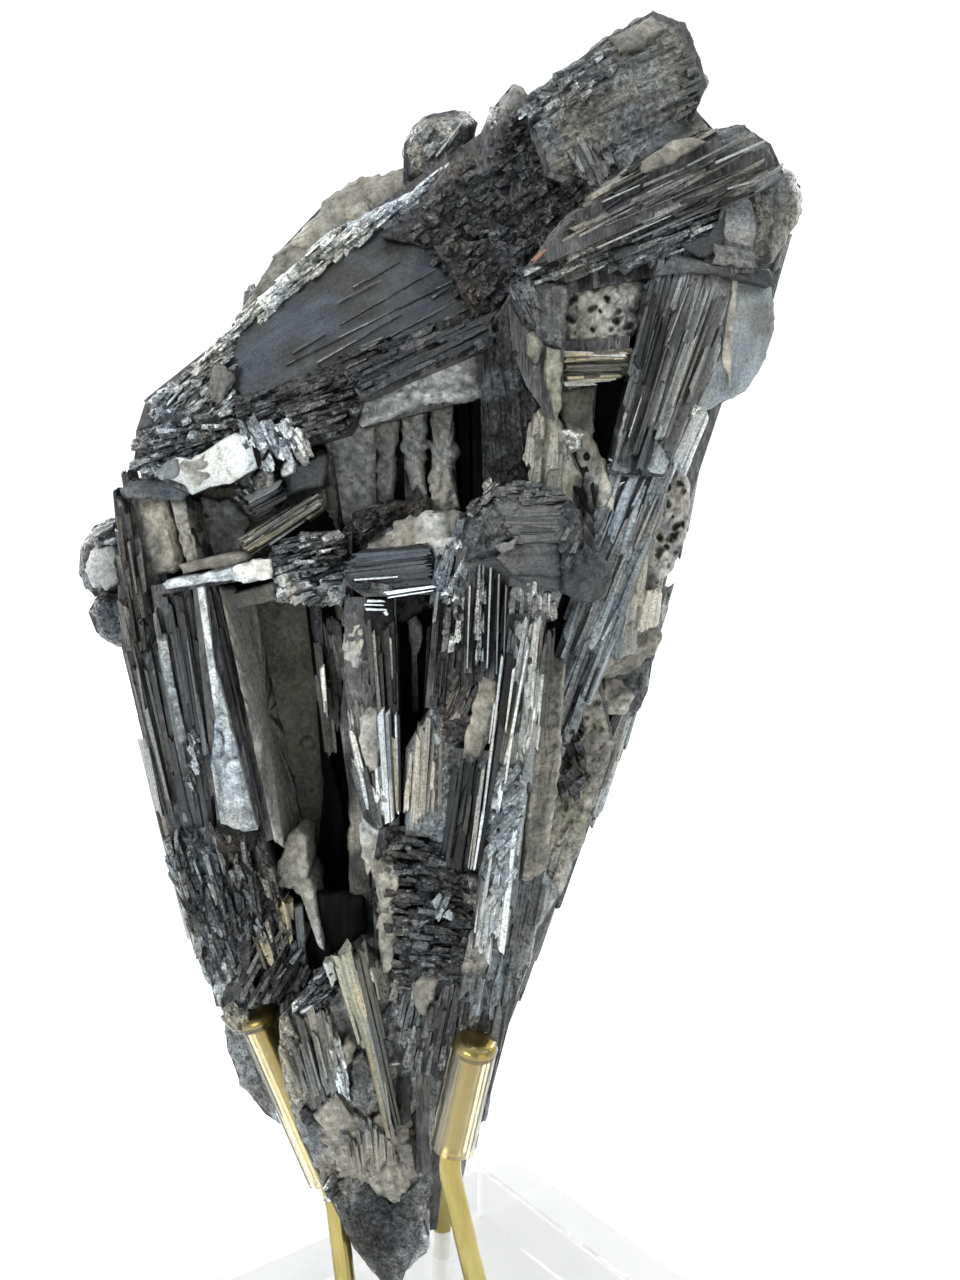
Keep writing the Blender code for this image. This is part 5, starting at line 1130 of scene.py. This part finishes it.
# the dark hollow between the rails and the shaft
cavity = {
    "wall": crust("-38.4,149 -20.4,149 -19.4,130 -18.4,112 -19,103 -24,100 -28,104 -31,108 -33.6,120", 1.2,
        "sand tan", grain=-84, steps=0.2, stepSize=4, swell=1, cracks=0.6, thick=6, mottle=0.3),
    "sideWall": crust("-36.6,148 -31.7,148 -24.5,112 -22.9,104 -25,101 -28.2,103.4 -29.7,112", (-12.3, 4.4, 0.88),
        "sand white", swell=0.6, thick=2.5, rim=0.2, edge=0.2, mottle=0.3, lumps=0.2, lumpSize=2),
    "ledge": slab("-37.4,146 -31,147.6 -27,148.6 -26.6,145.6 -31.6,144.4 -37.2,142.6", -13.6, "warm tan",
        (0.5, 0.4, 0.1), swell=0.5, thick=9, rim=0.5),
    # painted shade: a near-black sheet deep in the hollow
    "black": recess("-21,94 -12.6,93.6 -12.2,88 -14,85.5 -18,83 -20,81 -24,79 -25.6,82 -23,85 -21.4,90", -18.6,
        thick=4),
    "splinter": crust("-25.6,105 -24,105.6 -22.6,104 -22.4,98 -20.8,90 -19.8,83.4 -21,84.6 -23.4,92 -25,95 -28.6,95"
        " -27.6,100", (-19.8, 0, 0.14), "silver sand", lumps=0.5, lumpSize=2, swell=1.2, edge=0.5),
    "dark": bundle("-36,94 -28.6,101 -26.6,92 -23,84 -22.6,77 -33,74 -36,80", -20.4, "dark black brown grey",
        (0.32, 1, 0.5), grain=62, wide=(0.7, 2), length=(4, 14), proud=1.6, deep=4, layers=3, tilt=0.6, wander=14),
    "darkBed": slab("-36,94 -28.8,100 -27,92 -23.4,84 -23,76 -33,73 -36,80", -19.4, "black dark", (0.4, 0.8, 0.8),
        grain=60, lumps=1, thick=10),
    "goldOne": bundle("-32.6,86.6 -30.6,87 -28.8,80.6 -30.4,79.6", -22.4, "gold brown gold brown", (0.42, 1, 0.2),
        grain=-72, wide=(0.7, 1.6)),
    "goldTwo": bundle("-28.6,93 -25.8,93.4 -25.4,86 -27,83.6 -28.6,86", -22, "gold warm brown", (0.4, 1, 0.2),
        grain=-82),
    "darkRods": needles("-29.6,87,-26.8,76.4,1.5 -31.2,85,-28.2,75,1.2 -27.6,84,-25.6,75.6,1.2"
        " -34.6,88,-28.8,99.4,1.2 -32.6,88.6,-27.6,97,0.9", -22, "black dark", spin=0.2),
    "greyRods": needles("-24.4,92,-23.4,80,2 -26,84,-24.6,76,1 -33.8,79.6,-32.4,75.2,1.4", -21, "grey blue warm"),
    # painted shade: a near-black sheet along the top of the hollow
    "lintel": recess("-39,149 -27,150.6 -26.6,148.6 -33,147.4 -38.4,146", -10.4, thick=8),
}

# the crusted block on the upper left, with its ribs, ledges and lobe
box = {
    "wall": crust("-42,163.6 -33,164.6 -24,168 -17.4,170 -16,157 -25,153 -32,152 -41.4,151", -8.4, "tan warm",
        swell=1.2, steps=0.2, stepSize=4, mottle=0.3),
    "wallPale": crust("-39.2,162.4 -34.4,162.8 -31.4,159.4 -32.4,153.2 -38.4,152.6", -9.8, "white silver", lumps=0.3,
        lumpSize=2, swell=0.8, thick=5, rim=0.6, edge=0.6, mottle=0.3),
    "topBeam": slab("-52.6,164 -50,165.6 -43.6,165.4 -40.8,163.4 -42,162 -52,162.4", -21.6, "slate grey",
        (0.45, 0.8, 0.3), grain=3, steps=0.4, rim=0.5, edge=0.4),
    "post": bundle("-53.4,163.6 -51.6,164.4 -50.6,160 -49.8,150 -48.4,142 -49,137 -52.2,138 -52.8,150", (-20, 0.1, 0),
        "brown dark grey black", (0.36, 1, 0.3), grain=-84, wide=(0.7, 1.8), length=(6, 26), proud=1.3, deep=4,
        layers=3, cover=0.5),
    "postBed": slab("-53.6,163 -51,164.6 -49.6,160 -48.6,150 -47.6,142 -48.8,136.4 -52.4,137.4 -52.8,150",
        (-19.4, 0.1, 0), "brown dark grey", (0.4, 1, 0.3), grain=-84, steps=0.6, thick=24),
    "plates": crust("-49.8,163.4 -45,163.4 -43.6,158 -42.6,151 -44.6,149.6 -48.2,149.4 -49.2,156", -19.8, "warm tan",
        grain=-80, steps=1, stepSize=2.2, lumps=0.6, thick=14, edge=0.5, lumpSize=1.5),
    "rib": crust("-44.2,162.4 -41.6,162 -40.6,156 -39.8,153 -40.2,151.4 -41.8,151.4 -42.8,156", -20.6, "sand tan",
        grain=-78, steps=0.5, lumps=0.6, rim=0.7, edge=0.4, lumpSize=1.3),
    # painted shade: near-black needles in the gaps beside the rib
    "ribGap": needles("-44.2,163.4,-41.6,163.8,0.9 -41.2,163,-40.4,160.6,0.9 -40.6,157.6,-39.4,154.4,0.5"
        " -38.6,159.8,-38,159.4,0.7", -20.9, "black dark", material="void"),
    "upperLedge": crust("-43.2,151.4 -39,152.6 -33,153.4 -31.6,152.4 -33.6,151.2 -38,150.6 -42.8,149.8", -22.4,
        "tan warm pink", lumps=0.4, thick=16, edge=0.4, rim=0.5),
    "ledge": slab("-46.2,148.2 -45,149 -40,149.8 -34.4,151 -32,151.8 -27.8,152.2 -27.4,149.2 -32.4,148.4 -34,149"
        " -38.4,148.4 -45.6,147.2", -25.2, "light silver light", (0.4, 0.4, 0.3), grain=8, steps=0.3, lumps=0.35,
        lumpSize=1.4, thick=18, edge=0.4, rim=0.4),
    "whiteBlock": crust("-34.2,150.8 -32,152 -27.8,152.3 -27.6,149.2 -30.6,148.6 -32.6,148.2 -33.6,149.4", -26.4,
        "white", lumps=0.3, lumpSize=1.6, thick=6, rim=0.4, edge=0.4),
    "stub": bundle("-31.8,164.6 -30,167 -26.4,166 -24.2,162.6 -29.4,159.4 -31.2,161", -22.4, "dark grey black dark",
        (0.3, 1, 0.1), grain=27, wide=(0.6, 1.4), proud=0.7, cover=0.55, ragged=0.08),
    "stubEdge": bundle("-34,166.6 -30.6,168 -30.6,163 -32.4,161.6", -22.4, "grey dark warm", (0.28, 0.8, 0.8),
        grain=-50, length=(1.5, 4), proud=1.1, deep=2.5, tilt=0.5),
    "stubTop": slab("-30.6,165.4 -28.6,167.4 -26.8,166.6 -27.2,164.4 -30,163.8", -22.9, "light warm", (0.4, 0.7, 0.5),
        lumps=0.4, thick=5, rim=0.6),
    "plate": slab("-26.4,167 -22,168.8 -18.6,170 -17.8,168.6 -18.6,164.4 -24.8,162.8", -13.4, "grey dark",
        (0.45, 0.3, 0.1), swell=1, thick=10, mottle=0.3),
    "platePatch": slab("-25.8,168 -24.6,169 -23,168.4 -23.6,166.4 -25.4,166", -21.6, "white silver", (0.35, 0.2, 0.3),
        thick=4, rim=0.3),
    "blade": bundle("-32.8,155.6 -31.2,153 -18.6,160.6 -18.8,163.8", -16.4, "gold black sand black gold dark silver",
        (0.26, 1, 0.05), grain=33, wide=(0.25, 0.6), proud=0.5, cover=0.5, ragged=0.05, wander=0.6),
    # painted shade: a near-black sheet under the blade
    "underBlade": recess("-27,156.6 -18,160.4 -16.6,157 -24,154.6", -10.4, thick=4, edge=0.6),
    "roof": slab("-50,167.4 -49,173.6 -44,176.6 -36,178 -33,176 -32,173.4 -40,168.6 -46,165.6", (-20.9, 0, -0.3),
        "dark slate grey", (0.3, 0.7, 1), grain=18, steps=0.6, lumps=1, lumpSize=1.6, swell=1.2, thick=20, edge=0.6),
    "roofBlades": bundle("-50,168 -48.8,173 -42,176 -33,177 -32,174 -41,168.8 -46.4,166.4", ("roof", 0.4),
        "grey light slate silver dark grey", (0.24, 0.8, 1), grain=22, wide=(0.5, 1.5), length=(1.2, 5), proud=1.2,
        deep=2.5, cover=0.7, tilt=0.7, wander=16),
    "blueSpot": slab("-44.6,170 -42.6,172.6 -38.6,173.4 -40.6,170.6 -43.6,168.8", ("roof", 1), "black",
        (0.3, 0.3, 0.3), thick=4, lumps=0.2, rim=0.5),
    "palePlate": slab("-46,167 -44.6,168.6 -42.6,169.4 -40.6,168.8 -36,171.8 -33,173.4 -30.2,172 -29.2,169.6"
        " -28.6,168.4 -31.4,166.6 -34,165 -37.6,164.4 -40.6,163 -41.6,164.6 -44.4,165.8 -45.8,165.6",
        (-25.6, -0.1, 0.2), "light silver light", (0.5, 0.1, 0), swell=0.3, thick=9, rim=0.3, edge=0.15, mottle=0.08,
        cracks=0.15),
    "paleBlue": crust("-46.2,167 -44.8,168.8 -42.6,169.2 -42.4,167.4 -43.6,165.6 -45.6,165.4", ("palePlate", 0.4),
        "blue", lumps=0.3, thick=5, rim=0.4),
    "paleSand": crust("-42.4,167.6 -40.8,168.7 -38,170.2 -37.4,166 -40.2,164 -41.6,165.6", ("palePlate", 0.15),
        "tan light", lumps=0.4, thick=5, rim=0.4, edge=0.9),
    "paleEdge": bundle("-33.4,174.2 -29.8,173 -28.8,168.6 -26,169.6 -25,173.6 -30,175.6", -25.2,
        "light grey silver ash", (0.26, 0.8, 0.6), grain=-62, wide=(0.5, 1.3), length=(1.5, 5), proud=1, deep=2.5,
        tilt=0.5),
    # painted shade: near-black needles in the crack
    "darkCrack": needles("-29.8,170.8,-29.2,167.8,1 -28.6,168.8,-27.6,170.6,0.6", -27.2, "black", material="void",
        deep=1.4),
    "farEnd": slab("-47.8,178.6 -46,180.2 -42,181.6 -37,187 -33.6,189.4 -32,184 -32,176 -38,174.4 -44,175 -47,175.6",
        (-18.6, -0.25, 0.3), "light silver grey", (0.26, 0.8, 1), grain=30, steps=0.6, lumps=1.1, lumpSize=1.8,
        swell=1.2, thick=18, edge=0.6),
    "farBlades": bundle("-47.4,178.4 -42,181.4 -37,186.6 -33,189 -32.6,177 -38,175 -46,176", ("farEnd", 0.3),
        "light silver ash grey silver", (0.24, 0.9, 0.9), grain=38, wide=(0.5, 1.6), length=(1.5, 6), proud=1.6,
        layers=3, cover=0.55, tilt=0.7, wander=14),
    "sandSpot": crust("-37.6,180.6 -36,183.8 -34.4,184.2 -33.4,181.4 -35,178.4 -36.6,178.2", (-23, -0.2, 0),
        "warm grey", lumps=0.5, lumpSize=1.4, thick=5, rim=0.6, edge=0.5),
    "lobe": slab("-60,150 -59.6,153.6 -57.6,157.4 -55,158.9 -52.6,159.4 -51,156 -50.6,149 -52.6,147.2 -56.6,146.4"
        " -58.4,146.6", (-10.2, 0.15, 0), "grey dark warm", (0.4, 0.6, 0.8), lumps=0.7, lumpSize=2, dome=1.4,
        thick=14, edge=0.5, rim=1.6),
    "lobePlate": crust("-59,151.6 -57.8,153.6 -54,155 -53.2,152.4 -53,148.6 -55.6,146.8 -58,148.4", (-12.6, 0.15, 0),
        "light silver", swell=0.6, thick=5, rim=0.5, edge=0.5, mottle=0.1),
    "lobeStripes": bundle("-57,157 -52.8,158.8 -52.8,155.2 -56.8,154.6", (-12.6, 0.15, 0), "grey light warm dark",
        (0.34, 0.9, 0.4), grain=24, length=(2, 5), proud=0.8, deep=2, cover=0.7),
    "knob": slab("-58.6,143.6 -57.4,145.8 -54,146.2 -51,145.4 -50,141 -51.6,138.2 -54,137.6 -57,139.6", -12,
        "dark grey slate", (0.38, 0.4, 1), lumps=0.9, lumpSize=2.2, dome=2.2, edge=0.4, rim=2),
}

# the lower wedge that stands in the prongs
lower = {
    "leftLobe": slab("-38,74 -32,79 -22,76 -20,56 -25.6,49.6 -31,53 -35.5,59.5 -37.5,66", -9.2, "grey blue grey",
        (0.44, 0.6, 0.7), grain=-72, steps=0.4, lumps=0.6, lumpSize=2, swell=1.2, thick=20, edge=0.5, rim=1.4,
        back=0.8),
    "lobeShelf": bundle("-39,76 -36,75.6 -33,70 -34.6,68 -37.4,70", -13.4, "tan warm sand", (0.4, 0.9, 0.5),
        grain=-55, wide=(0.7, 1.8), length=(2, 6), deep=2.5, cover=0.7),
    "blackSpot": slab("-24.8,53 -23.6,54.6 -22.2,53.8 -22,51.4 -23.4,50.2 -24.6,51.2", -22.2, "dark slate",
        (0.5, 0.3, 0.8), lumps=0.9, lumpSize=1.1),
    "bed": slab("-28,71 -19,81 -13,84.5 -5,77 0,66 -0.8,50 -1.3,40 -3.8,27 -8,18.2 -11,21 -15.5,27 -20,38 -25,49"
        " -28,62", (-21.2, 0, -0.2), "grey warm slate", (0.44, 0.9, 0.5), grain=-72, steps=0.7, lumps=0.5,
        lumpSize=2.2, swell=1.4, edge=0.5),
    "leftBlades": bundle("-27.6,71 -25,72 -21,76 -18.4,74 -16.6,62 -17.6,55.6 -21.4,55 -25.4,58 -28,64", ("bed", 0.5),
        "warm grey moss grey dark", (0.4, 1, 0.2), focus=(-9.5, 10), wide=(0.7, 2), proud=1.2, deep=3.5, layers=3,
        cover=0.5, ragged=0.3),
    "leftCrust": slab("-28,71 -26.6,72 -24,66 -22.4,58 -24.6,54 -27,58 -28.4,64", ("bed", 1), "grey slate warm",
        (0.42, 0.5, 0.9), lumps=0.8, lumpSize=1.5, thick=8, edge=0.5),
    "goldCream": bundle("-19.6,82 -16.6,84.3 -14.6,84 -12.2,72 -11.4,66 -14.6,66.6 -16.8,74", ("bed", 2.2),
        "gold moss sand moss", (0.42, 1, 0.1), grain=-76, wide=(0.8, 2.2), proud=0.7, deep=3.5, cover=0.5, ragged=0.1,
        wander=0.8),
    "darkBars": bundle("-15.2,84.6 -12.8,84.4 -11,80 -9.4,66 -6.6,50 -8.4,46 -11,57 -13.6,72", ("bed", 2.6),
        "grey gold warm dark light", (0.36, 1, 0.1), grain=-79, cover=0.55, ragged=0.08, wander=0.8),
    "crumple": bundle("-25.6,73.6 -19,81.6 -17.8,80.6 -18.4,75 -22,71.6", ("bed", 0.8), "dark black silver grey dark",
        (0.28, 0.9, 0.9), grain=40, length=(1.5, 5), proud=1.3, deep=2.5, layers=3, tilt=0.6, wander=14),
    "whiteStreak": bundle("-19.2,68 -17.6,68 -16,60 -16.4,56 -17.8,58", ("bed", 1.9), "white silver light warm",
        (0.3, 0.5, 0.6), grain=-76, wide=(0.4, 1), length=(2, 6), proud=0.8, deep=2),
    "roundBit": crust("-17.2,66.4 -16,67.4 -15,66 -15.2,63 -16.4,62", ("bed", 2.2), "warm moss", lumps=0.5,
        lumpSize=1.2, dome=0.8, thick=4),
    "midCrust": slab("-15.6,64 -13.4,65 -11.4,62 -10.4,54 -13,52.6 -15.6,55", ("bed", 1.4), "warm grey brown",
        (0.44, 0.5, 0.8), lumps=1, lumpSize=1.6, thick=6, edge=0.5),
    "rightCrust": slab("-10.6,72 -7,75 -1.6,74.6 0,68 -0.6,57 -4.6,54.6 -8.4,60 -10,66", ("bed", 0.7),
        "warm grey light", (0.42, 0.8, 0.8), grain=-82, steps=0.6, lumps=0.9, lumpSize=1.8, swell=1.2, thick=10,
        edge=0.5),
    "rightBlades": bundle("-7,70.6 -0.8,71 -0.6,66 -3,65 -6.6,66", ("bed", 1.8), "moss dark warm brown",
        (0.38, 1, 0.3), grain=-86, wide=(0.5, 1.3), deep=2.5, ragged=0.3),
    "rightDark": bundle("-3.4,64 -0.4,64 -0.8,50 -1.4,41 -4.8,42 -5,52", ("bed", 0.9), "dark brown black",
        (0.42, 1, 0.3), grain=-86, wide=(0.7, 2), proud=1, ragged=0.25),
    "pinkCrust": crust("-21.4,54.8 -18,56.4 -15.6,53 -10,52.6 -5,55 -4.4,50 -4.6,40 -6.6,35.8 -10,36 -13,39"
        " -17.4,41 -20.4,47 -22,51", ("bed", 1.2), "pink tan", grain=-74, steps=0.5, lumps=0.8, lumpSize=1.3,
        swell=1.6, thick=8, edge=1.4, mottle=0.22),
    "crustBlades": bundle("-17.4,50 -13,53 -9,51 -7.6,44 -11,41 -15,43", ("bed", 1.9), "warm grey pink",
        (0.5, 1, 0.2), focus=(-9.5, 10), wide=(0.5, 1.3), proud=0.8, deep=2.5, layers=1, cover=0.4, ragged=0.4),
    "crustLine": needles("-8.9,50.4,-7.6,43.6,0.35 -9.8,61,-8.2,48,0.4 -8.6,62.4,-6.8,62.6,0.6 -6.4,61,-4.2,61.6,0.6",
        -26.4, "light warm dark", deep=1.4),
    "tip": slab("-19.6,40.4 -14,41.4 -10.6,38 -8.8,36 -6,38 -2.4,41.4 -1.2,40 -3.2,31.6 -4.4,27 -8,18.4 -10.8,21"
        " -15,27 -18.4,34", ("bed", 0.5), "dark slate grey", (0.4, 0.7, 1), grain=-66, steps=0.3, lumps=0.9,
        lumpSize=1.6, swell=1.4, thick=10, edge=0.4),
    "sparkleEdge": bundle("-20.8,41 -18.4,41 -17.4,36.6 -20.2,37", ("bed", 0.6), "black dark silver", (0.28, 0.7, 1),
        grain=60, length=(1, 3), proud=1, deep=2, cover=0.7, tilt=0.5, wander=20),
    "tipChunk": slab("-5.8,32.6 -3,33 -1.7,29.6 -2.4,26.2 -5.6,22.8 -7,26", -13.4, "light", (0.46, 0.5, 0.6),
        grain=60, lumps=0.7, lumpSize=2, dome=1, thick=9, rim=1.4, back=0.75),
    "foot": bundle("-2,74 6,80 14.4,77.6 11,72.5 10,66 9,55.6 4.6,46 0.4,41 -0.6,52 -0.4,64", (-25.6, 0.1, -0.15),
        "dark grey brown dark", (0.44, 1, 0.3), grain=79, wide=(0.8, 2.4), length=(5, 18), proud=0.7, cover=0.55),
    "footBed": slab("-3,76 5,82 14.5,78 11,72.4 10.1,66 9.1,55.4 4.6,45.8 0,40.3 -2,44", (-25.4, 0.1, -0.15),
        "grey dark grey", (0.46, 0.9, 0.4), grain=79, steps=0.4, lumps=0.4, thick=26, back=0.8),
    "heelCrust": slab("3,81 9,84 15.4,83.6 14.6,77.6 11,72.6 5,71 2.6,75", (-26.8, 0.2, 0), "grey blue warm",
        (0.46, 0.5, 0.7), lumps=0.7, lumpSize=2.2, swell=1.2, thick=14, edge=0.4),
}

# sprays of long crystals on the sides and the back: foot (x, z, y), head (x, z, y), width and depth in mm of
# the space each one fills, turned outwards
sprays = {
    "back": dict(outward=(0, 1), tint="grey slate dark light blue grey", finish=(0.3, 1.0, 0.3),
                 places=[((-12, 42, 5), (-36, 158, 22), 18, 15), ((-9, 30, 3), (-19, 180, 27), 17, 16),
                         ((-5, 32, 4), (2, 194, 28), 20, 15), ((-1, 44, 6), (23, 178, 26), 17, 16),
                         ((-24, 58, 5), (-47, 140, 13), 12, 18), ((6, 76, 10), (34, 162, 19), 14, 17),
                         ((-24, 96, 16), (-30, 186, 23), 12, 17), ((8, 104, 19), (10, 184, 30), 11, 14)]),
    "backTop": dict(outward=(0, 1), tint="grey dark slate silver warm", finish=(0.28, 1.0, 0.4),
                    places=[((-18, 148, 25), (18, 222, 16), 20, 18), ((4, 146, 27), (40, 217, 13), 18, 20),
                            ((-34, 128, 21), (-24, 198, 16), 18, 17), ((20, 150, 23), (50, 199, 9), 16, 17)]),
    "left": dict(outward=(-1, 0.2), tint="grey dark warm slate olive", finish=(0.34, 1.0, 0.3),
                 places=[((-30, 62, 2), (-49, 160, -2), 9, 18), ((-26, 60, 8), (-47, 172, 10), 9, 16),
                         ((-40, 104, 6), (-40, 180, 4), 12, 16)]),
    "right": dict(outward=(1, 0.2), tint="grey slate warm dark light", finish=(0.36, 1.0, 0.3),
                  places=[((5, 62, 3), (33.6, 150, 4), 8, 16), ((5, 64, 14), (34, 154, 15), 8, 14),
                          ((20, 100, 8), (36, 152, 9), 7, 16), ((34, 148, 10), (40.4, 178, 12), 7, 16),
                          ((44.6, 180, 3), (52.6, 207, 4), 7, 15), ((8, 70, -12), (32, 138, -3), 6, 15),
                          ((33, 140, 1), (40, 178, 3), 6, 12), ((46.5, 182, 12), (54, 206, 13), 6, 12)]),
}

cluster = dict(crest=crest, crown=crown, shoulder=shoulder, fan=fan, flank=flank, window=window, tower=tower,
               fang=fang, shelves=shelves, rails=rails, cavity=cavity, box=box, lower=lower)
clusterSeed, spraySeed = 11, 40  # the first piece's seed of each kind
for index, (name, parts) in enumerate(cluster.items()):
    makePiece("cluster_" + name, clusterSeed + index, parts)
for index, (name, values) in enumerate(sprays.items()):
    part = dict(values, maker=addSpray, tint=values["tint"].split())
    makePiece("spray_" + name, spraySeed + index, {name: part})


# the burred ends of the rods, seen through the closed ends of their sleeves: bend and end of each rod, in mm,
# and the profile of a burr (height above the end, radius)
rodEnds = dict(profile=((-1.4, 1.75), (-0.7, 2.8), (0.1, 3.0), (0.7, 2.7), (1.05, 1.9), (1.0, 1.2), (0.8, 0.5)),
               routes=(((2.4, -27.8, 60), (6.6, -30.3, 80.5)), ((-17.4, -11.5, 45), (-29.4, -12.4, 76.8)),
                       ((-1.5, 16.2, 50), (-1.5, 24.6, 80))))


def addRodEnds(profile, routes):
    # the profile turned about the rod's own axis
    batch = Batch()
    height, radius = (np.array(profile)[:, part, None, None] for part in (0, 1))
    turn = np.linspace(0, 2 * np.pi, 32, endpoint=False)[:, None]
    for bend, end in routes:
        axis = unit(np.array(end, float) - bend)
        side = unit(np.cross(axis, (0, 1, 0)))
        around = side * np.cos(turn) + np.cross(axis, side) * np.sin(turn)
        rings = end + axis * height + around * radius
        batch.add(rings[None], rings.mean(axis=1)[None, [0, -1]], np.ones(3), np.zeros(3), np.zeros(3),
                  "brass", True)
    batch.build("rod_ends")


addRodEnds(**rodEnds)

# the pieces that keep their own shape get their finishes
stand = {"stibnite_cluster": makeCore(), "prong": finishes["brass"], "sleeve": makeVinyl(),
         "acrylic_base": makeAcrylic()}
for name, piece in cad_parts.items():
    for slot in piece.material_slots:
        slot.link = "OBJECT"
        slot.material = next(material for start, material in stand.items() if name.startswith(start))
print("stand dressed")


def makeFloor():
    # pale matte sweep: a plain off-white whose roughness has a very faint slow mottle
    shader = makeShader("pale sweep")
    mottle = shader.noise(shader.place(0.01), detail=2.0)
    tint = (0.88, 0.885, 0.88)
    return shader.set(Base_Color=tint, Roughness=mottle * 0.1 + 0.6, Emission_Color=tint, Emission_Strength=0.3)


def addSweep(half=2.5, front=-1.6, back=1.4, bend=0.5, top=2.4):
    # a floor that curves up into a backdrop: rows of points along its profile, in metres
    turn = np.radians(np.linspace(0, 90, 13))
    y = np.concatenate([[front], back - bend + bend * np.sin(turn), [back]])
    z = np.concatenate([[0.0], bend - bend * np.cos(turn), [top]])
    points = np.stack(np.broadcast_arrays([[-half, half]], y[:, None], z[:, None]), axis=-1).reshape(-1, 3)
    faces = [(2 * i, 2 * i + 1, 2 * i + 3, 2 * i + 2) for i in range(len(y) - 1)]
    mesh = bpy.data.meshes.new("sweep")
    mesh.from_pydata(points.tolist(), [], faces)
    mesh.polygons.foreach_set("use_smooth", np.ones(len(faces), bool))
    sweep = bpy.data.objects.new("sweep", mesh)
    bpy.context.scene.collection.objects.link(sweep)
    mesh.materials.append(makeFloor())


addSweep()

# soft square lamps: place, the point each looks at, its side in metres and its power in watts
lamps = {
    "key": ((-0.45, -0.60, 0.55), (0, 0, 0.14), 0.3, 5.0), "fill": ((0.6, -0.5, 0.45), (0, 0, 0.13), 0.5, 1.8),
    "top": ((0.05, 0.1, 0.95), (0, 0, 0.15), 0.5, 2.5), "rim": ((0.5, 0.55, 0.5), (0, 0, 0.15), 0.4, 3.0),
    "backFill": ((-0.5, 0.6, 0.4), (0, 0, 0.12), 0.5, 3.0),
}
for name, (spot, aim, size, power) in lamps.items():
    light = bpy.data.lights.new(name, "AREA")
    light.size = size
    light.energy = power
    lamp = bpy.data.objects.new(name, light)
    lamp.location = spot
    lamp.rotation_euler = (Vector(aim) - Vector(spot)).to_track_quat("-Z", "Y").to_euler()
    bpy.context.scene.collection.objects.link(lamp)


def makeWorld():
    # soft white surroundings: the strength is a rise towards the zenith, plus a rise towards the back, plus a
    # fall from left to right
    shader = Shader(bpy.data.worlds.new("studio"), "Background")
    heading = shader.node("ShaderNodeTexCoord", {}, {}, out="Object")
    ramps = []
    for axis, span in (("Z", (-0.2, 0.8, 0.0, 0.5)), ("Y", (-0.7, 0.6, 0.3, 0.6)), ("X", (-0.9, 0.9, 0.22, -0.2))):
        limits = dict(zip(("From Min", "From Max", "To Min", "To Max"), span))
        ramps.append(shader.node("ShaderNodeMapRange", {"interpolation_type": "SMOOTHSTEP"},
                                 {"Value": shader.part(heading, axis), **limits}))
    return shader.set(Color=(0.96, 0.98, 1.0), Strength=ramps[0] + ramps[1] + ramps[2])


scene = bpy.context.scene
scene.world = makeWorld()
camera = bpy.data.cameras.new("view")
camera.lens = 35
camera.sensor_width = 36
camera.clip_start = 0.005
viewer = bpy.data.objects.new("view", camera)
viewer.location = eye * mm
viewer.rotation_euler = (math.radians(82), 0, 0)  # tilted 8 degrees down
scene.collection.objects.link(viewer)
scene.camera = viewer
scene.view_settings.view_transform = "Standard"
print("stage set")
